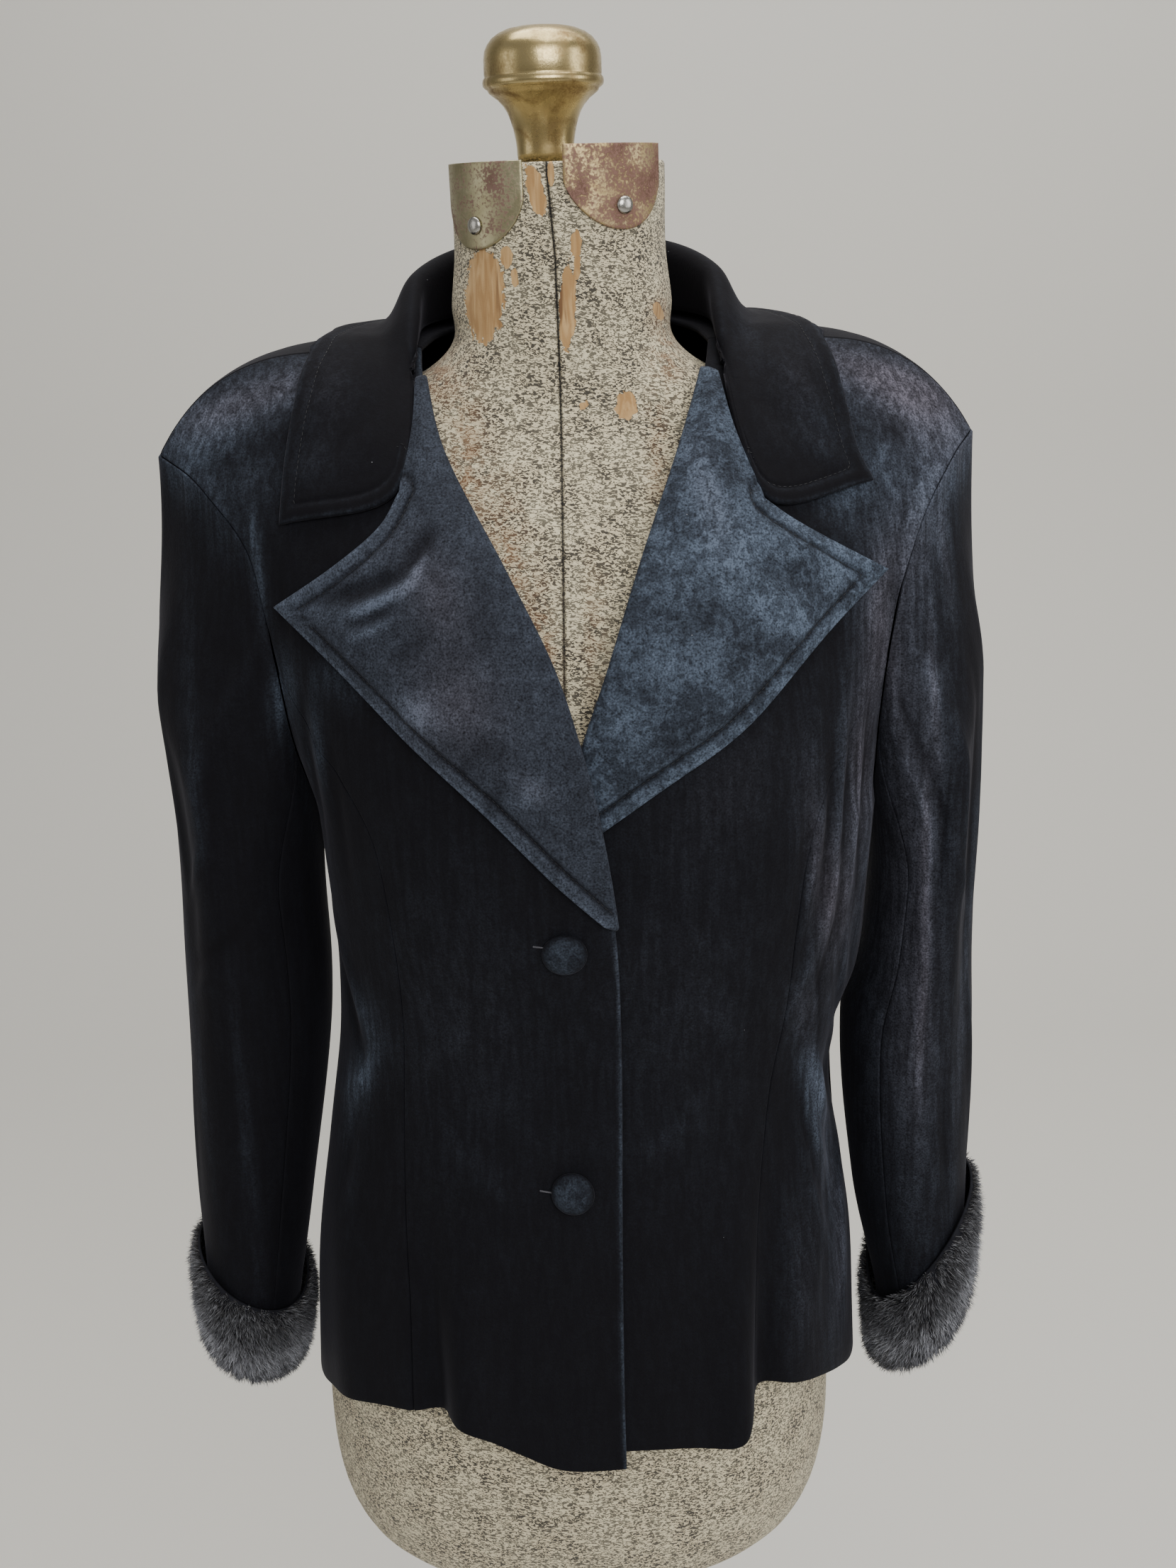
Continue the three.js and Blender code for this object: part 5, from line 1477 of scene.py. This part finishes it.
def stitch_nodes():
    """The tree that lays a rounded stitch at every pitch along a path."""
    tree, given, result = node_group("stitches", {
        **GEOMETRY, "Pitch": "Float", "Stitch length": "Float", "Stitch width": "Float",
        "Thread": "Material",
    }, GEOMETRY, "GeometryNodeTree")
    curve = add_node(tree, "GeometryNodeMeshToCurve", {0: given["Geometry"]}).outputs[0]
    points = add_node(tree, "GeometryNodeCurveToPoints", {"Curve": curve, "Length": given["Pitch"]},
                      mode="LENGTH").outputs
    ball = add_node(tree, "GeometryNodeMeshUVSphere", {"Segments": 6, "Rings": 4, "Radius": 0.5})
    size = add_node(tree, "ShaderNodeCombineXYZ", {0: given["Stitch width"], 1: given["Stitch width"],
                                                   2: given["Stitch length"]})
    along = add_node(tree, "FunctionNodeAlignRotationToVector", {"Vector": points["Tangent"]}, axis="Z")
    laid = add_node(tree, "GeometryNodeInstanceOnPoints", {
        "Points": points["Points"], "Instance": ball.outputs["Mesh"], "Rotation": along.outputs[0],
        "Scale": size.outputs[0]})
    realized(tree, laid, given["Thread"], result)
    return tree


stitch_tree = stitch_nodes()


def stitch_row(name, paths, pitch=STITCH_PITCH, length=STITCH_LENGTH, width=STITCH_WIDTH,
               material=thread):
    starts = np.cumsum([0] + [len(path) for path in paths])
    edges = [(start + k, start + k + 1) for start, path in zip(starts, paths) for k in range(len(path) - 1)]
    piece = make_mesh(name, np.concatenate(paths), [], edges=edges)
    grown(piece, stitch_tree, Pitch=pitch, Stitch_length=length, Stitch_width=width, Thread=material)
    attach(piece, "root")


def line_in(points, normals, distances, in_from_edge, rows):
    """The points of each row that lie a given distance in from the edge, just above the cloth."""
    path = []
    for k in rows:
        near = distances[k]
        last = len(near) - 1
        while last > 0 and near[last - 1] < in_from_edge:
            last -= 1
        if last == 0:
            continue
        share = (in_from_edge - near[last]) / max(near[last - 1] - near[last], 1e-6)
        path.append(lerp(points[k, last], points[k, last - 1], share) + normals[k, last] * 0.12)
    return path


for side in SIDES:
    whole, normals, nearest, offset = lapel_paths[side["name"]]
    ids = [k for k in range(8, whole.shape[0]) if nearest[k, -1] < 4]
    path = line_in(whole[:, offset:], normals[:, offset:], nearest, EDGE_STITCH_IN, ids)
    stitch_row(f"lapel_{side['name']}_stitches", [path])
outer, normals, from_edge, acrosses = collar_sheet
ids = range(6, outer.shape[0] - 6)
path = line_in(outer, normals, np.where(acrosses > 0.6, from_edge, 99), EDGE_STITCH_IN, ids)
stitch_row("collar_stitches", [path])

# Bars at the ends of the two buttonholes
BARS = [(-15, 914), (-17, 765)]
BAR_PITCH, BAR_LENGTH, BAR_WIDTH = 0.0006, 0.0009, 0.0011
bar_paths = []
for x, z in BARS:
    across, up = place_on_front(RIGHT, lean(z) - x, z)
    points = [body_point(FRONT_ROWS, RIGHT, across + t, up + t * 0.1)
              + body_normal(FRONT_ROWS, RIGHT, across, up) * 0.3 for t in np.linspace(-0.014, 0.014, 8)]
    bar_paths.append(points)
stitch_row("buttonhole_bars", bar_paths, BAR_PITCH, BAR_LENGTH, BAR_WIDTH, pale_thread)


# Two covered buttons, domed pieces of the same velvet over a flat back, their pile crushed, with a painted
# highlight on top.
BUTTONS = [("button_top", -3, 910, 0, -0.3), ("button_low", -3, 765, 9, 0.3)]
BUTTON_FLAT = 9.6
BUTTON_PROFILE = [
    (0, 0), (BUTTON_FLAT, 0), (11.2, 0.5), (12, 1.6), (11.9, 2.5), (11.3, 3.4), (10.2, 4.3), (8.6, 5.05),
    (6.6, 5.55), (4.2, 5.87), (2, 5.98), (0, 6),
]
button_velvet = velvet_material("button velvet", 0.6, 0.0, 0.35)


def lathed(name, profile, segments, material, place):
    """A round solid about +Z, its middle points shared, put in place by a matrix in millimetres."""
    turn = np.arange(segments) * 2 * math.pi / segments
    points = [(0, 0, profile[0][1])]
    for radius, height in profile[1:-1]:
        points += [(radius * math.cos(t), radius * math.sin(t), height) for t in turn]
    points.append((0, 0, profile[-1][1]))
    rings = len(profile) - 2
    faces = [(0, 1 + (k + 1) % segments, 1 + k) for k in range(segments)]
    for j in range(rings - 1):
        a, b = 1 + j * segments, 1 + (j + 1) * segments
        faces += [(a + k, a + (k + 1) % segments, b + (k + 1) % segments, b + k) for k in range(segments)]
    last = 1 + (rings - 1) * segments
    faces += [(last + k, last + (k + 1) % segments, len(points) - 1) for k in range(segments)]
    moved = [tuple(place @ Vector(p)) for p in points]
    piece = make_mesh(name, moved, faces, material)
    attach(piece, "root")
    return piece


def seated(position, normal):
    turn = Vector((0, 0, 1)).rotation_difference(Vector(normal)).to_matrix().to_4x4()
    return Matrix.Translation(Vector(position)) @ turn


for name, x, z, tilt, seat in BUTTONS:
    across, up = place_on_front(RIGHT, lean(z) - x, z)
    normal = Vector(body_normal(FRONT_ROWS, RIGHT, across, up))
    tilted = Matrix.Rotation(-math.radians(tilt), 3, "Z") @ normal
    off = seat + BUTTON_FLAT * math.sin(math.radians(tilt))
    position = Vector(body_point(FRONT_ROWS, RIGHT, across, up)) + normal * off
    piece = lathed(name + "_velvet", BUTTON_PROFILE, 48, button_velvet, seated(position, tilted))
    heights = np.array([(v.co / MM - position).dot(tilted) for v in piece.data.vertices])
    # A painted highlight that brightens towards the top of the dome
    paint(piece.data, nap=0.03 + 0.22 * ease((heights - 2) / 4), warm=np.zeros(len(heights)))
    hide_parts(name)


# The dress form: a hollow body covered with cream and black knit cloth, its middle seam showing on the
# neck. Strips of old card show where the cover has gone, and patches of brown lie on it beside the jacket's
# edges.
FORM_ROWS = table("z half front back", """
    477 122 105 96
    482 141 121 110
    498 153 131 119
    530 160 137 123
    570 161 137 121
    620 159 134 114
    680 152 128 102
    740 143 120 86
    800 134 113 74
    860 133 117 78
    920 136 128 88
    980 141 134 98
    1040 146 126 104
    1080 149 112 104
    1115 149 94 98
    1145 144 76 84
    1170 126 62 65
    1186 101 56 49
    1200 73 54 40
    1214 60 53 35
    1232 60 52 40
    1260 57 52 42
    1303 57 52 43
""")
FORM_LOW_LEAN, FORM_NECK_LEAN = -6, 6
FORM_LEAN_FROM, FORM_LEAN_TO = 600, 1230
FORM_BOTTOM, FORM_TOP = 477, 1303
FORM_NECK, FORM_NECK_STEPS = 1170, 90
FORM_STEPS_ROUND, FORM_STEPS_UP = 160, 170
FORM_EDGE = 0.9
GROOVE = {"width": 0.9, "deep": 0.9, "from": 640}
SEAM_LINE = [(900, 1038, 1113, 1166, 1198, 1256, 1299), (0, 1.3, 2.9, 3.8, 4.0, 3.6, 0.7)]

# Where the cover has gone, on the front of the neck: middle x and z, half sizes and turn
BARE = table("x z wide tall turn", """
    -34 1238 10.5 24 -4
    -21.4 1257 3 5.5 0
    -17.5 1247 2.2 5 0
    -5.1 1289 4.4 13 14
    2.9 1297 1.7 7 0
    14.7 1262 2.8 8 0
    15 1252 1.6 7 0
    9.2 1231 4.2 22 -4
    37.9 1181 6 7.4 0
    15.8 1182 2.4 3.2 0
    57 1227 2.6 5 20
""")


# Patches of brown beside the jacket's edges: x, z, half sizes and strength
BROWN_PATCHES = [(62, 1206, 8, 16, 0.8), (-62, 1200, 9, 16, 0.9), (-46, 1150, 9, 40, 0.9), (54, 1150, 6, 40, 0.5),
          (-26, 1100, 9, 40, 0.9), (-10, 1060, 8, 34, 0.8), (18, 1070, 6, 30, 0.5), (58, 1228, 6, 8, 0.6)]


def form_lean(z):
    return lerp(FORM_LOW_LEAN, FORM_NECK_LEAN, ease((z - FORM_LEAN_FROM) / (FORM_LEAN_TO - FORM_LEAN_FROM)))


def form_point(angle, z, off=0.0):
    half, front, back = (column_at(FORM_ROWS, "z", name, z) + off for name in ("half", "front", "back"))
    x = form_lean(z) + half * cosine(angle)
    y = np.where(np.sin(angle) < 0, front, back) * sine(angle)
    return np.stack(np.broadcast_arrays(x, y, z), -1).astype(float)


tweed, tree, shader = new_material("knit cover", Roughness=0.92, Specular_IOR_Level=0.15,
                                   Sheen_Weight=0.12, Sheen_Roughness=0.6)
coords = object_coords(tree)
place = add_node(tree, "ShaderNodeSeparateXYZ", {0: coords}).outputs
# The curled dashes are flat and a little slanted
slanted = add_node(tree, "ShaderNodeCombineXYZ", {
    0: scaled(tree, place[2], 0.35, place[0]), 1: times(tree, place[1], 1.5), 2: times(tree, place[2], 2.1),
}).outputs[0]
curls = noise(tree, slanted, 470.0, 1.2, 1.1)
clumps = spread(tree, noise(tree, coords, 60.0, 2.0), 0.35, 0.65)
fuzz = noise(tree, coords, 2200.0, 2.0)
cream = blend_colours(tree, fuzz, (0.50, 0.44, 0.30, 1), (0.86, 0.79, 0.58, 1))
aged = blend_colours(tree, times(tree, clumps, 0.3), cream, (0.44, 0.35, 0.23, 1))
dark = times(tree, spread(tree, curls, 0.465, 0.535), scaled(tree, clumps, 0.15, 0.80))
knit = blend_colours(tree, dark, aged, (0.030, 0.028, 0.026, 1))
knit = blend_colours(tree, attribute(tree, "seam"), knit, (0.006, 0.005, 0.005, 1))
# The brown patches beside the jacket's edges, broken up by noise
ragged = times(tree, attribute(tree, "stain"), spread(tree, noise(tree, coords, 140.0, 4.0, 1.0), 0.3, 0.62))
brown_patched = blend_colours(tree, times(tree, ragged, 0.72), knit, (0.20, 0.085, 0.030, 1))
fray = maths(tree, "SUBTRACT", noise(tree, coords, 260.0, 3.0, 0.5), 0.5)
bare_mask = spread(tree, maths(tree, "ADD", attribute(tree, "bare"), times(tree, fray, 0.8)), 0.47, 0.53)
# The card below is grained upright
grain = add_node(tree, "ShaderNodeMapping", {0: coords, 3: (1.0, 1.0, 0.14)}).outputs[0]
card_grain = spread(tree, noise(tree, grain, 300.0, 4.0, 0.8), 0.35, 0.7)
card = blend_colours(tree, card_grain, (0.34, 0.20, 0.085, 1), (0.50, 0.33, 0.16, 1))
card_marks = spread(tree, noise(tree, grain, 120.0, 2.0, 0.5), 0.62, 0.72)
card = blend_colours(tree, card_marks, card, (0.16, 0.085, 0.04, 1))
tree.links.new(blend_colours(tree, bare_mask, brown_patched, card), shader.inputs["Base Color"])
covered = maths(tree, "SUBTRACT", 1.0, times(tree, bare_mask, 0.85))
loops = times(tree, maths(tree, "ADD", curls, times(tree, fuzz, 0.4)), covered)
relief(tree, shader, loops, 0.7, 0.0009)

neck = np.linspace(FORM_NECK, FORM_TOP, FORM_NECK_STEPS)
low = np.concatenate([[FORM_BOTTOM, 478.5, 480, 482, 485, 490, 497],
                      np.linspace(504, FORM_NECK, FORM_STEPS_UP - FORM_NECK_STEPS)[:-1]])
heights = np.concatenate([low, neck])
# Angles are closer together round the middle of the front, where the seam's groove runs
turn = np.linspace(0, 2 * math.pi, FORM_STEPS_ROUND + 1)[:-1]
front = np.linspace(1.5 * math.pi - 0.12, 1.5 * math.pi + 0.05, 81)
elsewhere = turn[(turn < front[0] - 0.01) | (turn > front[-1] + 0.01)]
turn = np.unique(np.concatenate([elsewhere, front]))
angles, zs = np.broadcast_arrays(turn[None, :], heights[:, None])
points = form_point(angles, zs)
beside = form_point(angles + 0.01, zs) - form_point(angles - 0.01, zs)
outward = unit(np.stack([beside[..., 1], -beside[..., 0], np.zeros_like(zs)], -1))
seam_x = np.interp(zs, SEAM_LINE[0], SEAM_LINE[1])
groove = nearness((points[..., 0] - seam_x), GROOVE["width"]) * (points[..., 1] < 0) * (zs > GROOVE["from"])
fall = FORM_EDGE - np.sqrt(FORM_EDGE ** 2 - (FORM_EDGE - np.minimum(FORM_TOP - zs, FORM_EDGE)) ** 2)
uneven = 0.35 * np.sin(points[..., 0] / 19 + 2 * np.sin(zs / 61)) * np.sin(zs / 27)
points = points - outward * (groove * GROOVE["deep"] + fall - uneven * ease((FORM_TOP - zs) / 20))[..., None]
flat = points.reshape(-1, 3)
count = len(flat)
columns = len(turn)
index = np.arange(count).reshape(len(heights), columns)
after = np.roll(index, -1, axis=1)
faces = np.stack([index[:-1], after[:-1], after[1:], index[1:]], -1).reshape(-1, 4).tolist()
faces += [(count, int(after[0, k]), int(index[0, k])) for k in range(columns)]
faces += [(count + 1, int(index[-1, k]), int(after[-1, k])) for k in range(columns)]
ends = [[float(form_lean(height)), 0, height] for height in (FORM_BOTTOM, FORM_TOP)]
flat = np.concatenate([flat, ends])
form = make_mesh("form_cover", flat, faces, tweed)
bare_at = np.zeros(len(flat))
for patch in BARE:
    slant = math.radians(patch["turn"])
    x, z = flat[:, 0] - patch["x"], flat[:, 2] - patch["z"]
    u = (x * math.cos(slant) + z * math.sin(slant)) / patch["wide"]
    v = (z * math.cos(slant) - x * math.sin(slant)) / patch["tall"]
    edge = np.clip(1.5 - np.hypot(u, v), 0, 1)
    bare_at = np.maximum(bare_at, edge * (flat[:, 1] < 0))
brown_patch_at = np.zeros(len(flat))
for x, z, wide, tall, depth in BROWN_PATCHES:
    brown_patch_at += depth * np.exp(-((flat[:, 0] - x) / wide) ** 2 - ((flat[:, 2] - z) / tall) ** 2)
brown_patch_at = np.clip(brown_patch_at, 0, 1) * (flat[:, 1] < 0)
paint(form.data, bare=bare_at, stain=brown_patch_at, seam=np.append(groove.reshape(-1), [0, 0]))
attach(form, "root")
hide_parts("form_torso")


# Two curved steel plates on the front of the neck, each with a round lower end and one rivet. Their
# plating has worn to rust: the wearer's right one is silvery, the other brown with gold in it.
PLATE = {"thick": 1.4, "half_width": 30, "round": 30, "tongue": 0.98, "neck": 57}
PLATES = [("right", -42, 1304, 1261), ("left", 33, 1311, 1269)]
RIVET_PROFILE = [(0, 0), (4.6, 0), (4.5, 0.35), (4.1, 0.95), (3.3, 1.45), (2.1, 1.82), (1, 1.97), (0, 2)]
RIVET_ABOVE = 12


def rusty_steel(name, bright, rust, low, high, roughness):
    material, tree, shader = new_material(name, Metallic=1.0)
    coords = object_coords(tree)
    worn = noise(tree, coords, 60.0, 6.0, 0.4)
    specks = noise(tree, coords, 700.0, 4.0, 0.3)
    rust_mask = spread(tree, scaled(tree, specks, 0.5, times(tree, worn, 0.5)), low, high)
    smear = blend_colours(tree, noise(tree, coords, 70.0, 3.0, 0.8), *bright)
    brown = blend_colours(tree, spread(tree, specks, 0.35, 0.65), *rust)
    tree.links.new(blend_colours(tree, rust_mask, smear, brown), shader.inputs["Base Color"])
    metal = maths(tree, "SUBTRACT", 1.0, times(tree, rust_mask, 0.85))
    tree.links.new(metal, shader.inputs["Metallic"])
    tree.links.new(scaled(tree, rust_mask, 0.35, roughness), shader.inputs["Roughness"])
    relief(tree, shader, specks, 0.25)
    return material


silvery = rusty_steel("worn silvery plate", [(0.24, 0.21, 0.11, 1), (0.50, 0.47, 0.32, 1)],
                      [(0.09, 0.045, 0.030, 1), (0.17, 0.10, 0.08, 1)], 0.50, 0.62, 0.36)
browned = rusty_steel("browned plate", [(0.40, 0.28, 0.10, 1), (0.48, 0.40, 0.26, 1)],
                      [(0.10, 0.045, 0.030, 1), (0.20, 0.11, 0.085, 1)], 0.38, 0.54, 0.40)
rivet_steel = rusty_steel("rivet steel", [(0.36, 0.35, 0.33, 1), (0.52, 0.51, 0.48, 1)],
                          [(0.14, 0.08, 0.05, 1), (0.22, 0.13, 0.08, 1)], 0.62, 0.74, 0.25)
PLATE_METAL = {"right": silvery, "left": browned}

for name, middle, top, bottom in PLATES:
    centre = -math.acos(float(signed_power(middle / PLATE["neck"], 1 / SQUARENESS)))
    reach = PLATE["half_width"] / PLATE["neck"]
    shares = np.concatenate([[0, 0.004, 0.012, 0.025], np.linspace(0.045, 0.955, 44),
                             [0.975, 0.988, 0.996, 1]])[None, :]
    ats = np.concatenate([[0, 0.006, 0.015, 0.03], np.linspace(0.06, 0.94, 16),
                          [0.97, 0.985, 0.994, 1]])[:, None]
    sideways = shares * 2 - 1
    lowest = bottom + PLATE["round"] * (1 - np.sqrt(1 - (sideways * PLATE["tongue"]) ** 2))
    z = lerp(lowest, top, ats)
    edge_off = np.maximum(edge_fall(shares, 60), edge_fall(ats, 40)) * 0.5
    point = form_point(centre + sideways * reach, np.minimum(z, FORM_TOP), CLEAR + PLATE["thick"])
    point[..., 2] = z
    normals = sheet_normals(point, 1)
    if (normals[..., 1].mean()) > 0:
        normals = -normals
    outer = point - normals * edge_off[..., None]
    piece = cloth_wall(f"neck_plate_{name}_metal", outer, normals, PLATE["thick"] - 0.1, PLATE_METAL[name],
                       0.0, 0.0)
    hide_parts(f"neck_plate_{name}")
    height = np.array(bottom + RIVET_ABOVE)
    seat = form_point(np.array(centre), height, CLEAR + PLATE["thick"] + CLEAR)
    beside = form_point(np.array(centre + 0.01), height) - form_point(np.array(centre - 0.01), height)
    normal = unit(np.array([beside[1], -beside[0], 0]))
    rivet = lathed(f"rivet_{name}_turned", RIVET_PROFILE, 40, rivet_steel, seated(seat, normal))
    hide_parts(f"rivet_{name}")


# The brass knob on top of the neck, turned in one piece: a collar with a bead, a waist and a drum with
# a lip. Its brass is old, greenish and dark in the hollows.
KNOB_PROFILE = [
    (0, 0), (11.5, 0), (13.6, 0.9), (14.8, 2.6), (15.1, 5), (15.2, 8), (15.5, 11), (16, 14), (16.8, 18),
    (18, 22), (19.5, 25.8), (21.5, 29), (24.2, 32), (27.5, 34.5), (28.9, 35.6), (29.5, 37), (30.2, 37.4),
    (31, 38), (31.8, 39), (32, 40.5), (31.8, 42), (31, 43), (30.8, 43.4), (31, 44.2),
    (31, 52), (30.4, 56), (29, 59), (26.6, 62), (23, 64.5), (18.4, 66.4), (13, 67.5), (6, 68.2), (0, 68.5),
]
POLE_RADIUS = 8
SOCKET_PROFILE = [(0, 0), (12.6, 0), (13, 0.6), (13, 56.4), (12.4, 57.6), (10.6, 59.6), (9.8, 60), (0, 60)]
FOOT_PROFILE = [
    (0, 0), (184, 0), (185, 1), (185, 6), (184.2, 6.8), (182, 7.3), (150, 11.6), (111, 17.6), (70, 21),
    (38, 22), (34, 22.6), (31.6, 24), (30.6, 25.4), (29.4, 26), (0, 26),
]


def aged_metal(name, bright, dark, low, high, roughness, metal=1.0, scale=60.0):
    material, tree, shader = new_material(name, Metallic=metal)
    coords = object_coords(tree)
    tarnish = noise(tree, coords, scale, 4.0, 0.8)
    fine = noise(tree, coords, scale * 14, 3.0)
    mask = spread(tree, scaled(tree, fine, 0.25, times(tree, tarnish, 0.75)), low, high)
    tree.links.new(blend_colours(tree, mask, bright, dark), shader.inputs["Base Color"])
    tree.links.new(scaled(tree, mask, 0.25, roughness), shader.inputs["Roughness"])
    relief(tree, shader, fine, 0.12)
    return material


old_brass = aged_metal("old brass", (0.50, 0.40, 0.20, 1), (0.20, 0.13, 0.055, 1), 0.40, 0.74, 0.24)
pole_steel = aged_metal("pole steel", (0.33, 0.37, 0.41, 1), (0.25, 0.27, 0.29, 1), 0.40, 0.72, 0.30)
foot_iron = aged_metal("painted iron", (0.022, 0.023, 0.025, 1), (0.05, 0.042, 0.036, 1), 0.52, 0.72, 0.45,
                       0.0, 40.0)

SOCKET_BOTTOM = FOOT_PROFILE[-1][1] + SEAM
POLE_BOTTOM = SOCKET_BOTTOM + SOCKET_PROFILE[-1][1] + SEAM
POLE_LENGTH = FORM_BOTTOM - SEAM - POLE_BOTTOM
POLE_PROFILE = [(0, 0), (7.6, 0), (8, 0.4)] + [(POLE_RADIUS, POLE_LENGTH * k / 6) for k in range(1, 6)] + [
    (8, POLE_LENGTH - 0.4), (7.6, POLE_LENGTH), (0, POLE_LENGTH)]
STAND = [
    ("knob", KNOB_PROFILE, FORM_TOP + SEAM, 96, old_brass, "brass"),
    ("foot", FOOT_PROFILE, 0, 128, foot_iron, "iron"),
    ("socket", SOCKET_PROFILE, SOCKET_BOTTOM, 48, pole_steel, "steel"),
    ("pole", POLE_PROFILE, POLE_BOTTOM, 48, pole_steel, "steel"),
]
for name, profile, height, segments, metal, slot in STAND:
    piece = lathed(name + "_turned", profile, segments, metal, Matrix.Translation((0, 0, height)))
    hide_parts(name)


# The stage: a plain pale floor that curves up into the wall behind, soft light from above and in front,
# and the camera of the photo.
def stage_backdrop():
    bend = [(1.6 + 0.9 * math.sin(t), 0.9 - 0.9 * math.cos(t)) for t in np.linspace(0, math.pi / 2, 16)]
    profile = [(-14.0, 0.0), *bend, (2.5, 9.0)]
    points = np.array([(x, y, z) for x in (-14.0, 14.0) for y, z in profile])
    count = len(profile)
    faces = [(k, k + count, k + count + 1, k + 1) for k in range(count - 1)]
    wall, _, _ = new_material("pale wall", Base_Color=(0.63, 0.62, 0.59, 1), Roughness=0.9)
    make_mesh("backdrop", points / MM, faces, wall)


def area_light(name, position, target, size, power, colour=(1, 1, 1)):
    data = bpy.data.lights.new(name, "AREA")
    data.shape = "RECTANGLE"
    data.size, data.size_y = size
    data.energy = power
    data.color = colour
    light = bpy.data.objects.new(name, data)
    light.location = position
    direction = Vector(target) - Vector(position)
    light.rotation_euler = direction.to_track_quat("-Z", "Y").to_euler()
    bpy.context.scene.collection.objects.link(light)


stage_backdrop()
area_light("front window", (0.5, -2.3, 2.1), (0, 0, 1.0), (1.6, 1.2), 46, (1.0, 0.98, 0.95))
area_light("ceiling", (0.1, 0.1, 3.0), (0, 0, 1.0), (2.2, 1.6), 46, (1.0, 0.97, 0.92))
area_light("left fill", (-2.2, -0.8, 1.5), (0, 0, 0.95), (1.2, 1.6), 6, (1.0, 0.97, 0.93))
area_light("right fill", (2.3, -0.8, 1.6), (0, 0, 0.95), (1.2, 1.6), 16, (1.0, 0.98, 0.95))
area_light("wall wash", (0.8, 0.9, 2.9), (0.8, 2.4, 1.0), (3.0, 0.6), 26, (1.0, 0.99, 0.96))
world = bpy.data.worlds.new("soft room")
bpy.context.scene.world = world
world.use_nodes = True
world.node_tree.nodes["Background"].inputs[0].default_value = (0.86, 0.85, 0.82, 1)
world.node_tree.nodes["Background"].inputs[1].default_value = 0.42

CAMERA_PLACE = (0.012, -1.0, 1.275)
CAMERA_PITCH, CAMERA_ROLL = math.radians(17.7), math.radians(1.8)
CAMERA_LENS = 40.69
forward = Vector((0, math.cos(CAMERA_PITCH), -math.sin(CAMERA_PITCH)))
level = Vector((1, 0, 0))
upright = level.cross(forward)
across_view = math.cos(CAMERA_ROLL) * level - math.sin(CAMERA_ROLL) * upright
up_view = math.sin(CAMERA_ROLL) * level + math.cos(CAMERA_ROLL) * upright
data = bpy.data.cameras.new("photo camera")
data.lens = CAMERA_LENS
data.sensor_width = 36
data.clip_start = 0.05
camera = bpy.data.objects.new("photo camera", data)
turned = Matrix((across_view, up_view, -forward)).transposed().to_4x4()
camera.matrix_world = Matrix.Translation(CAMERA_PLACE) @ turned
bpy.context.scene.collection.objects.link(camera)
bpy.context.scene.camera = camera
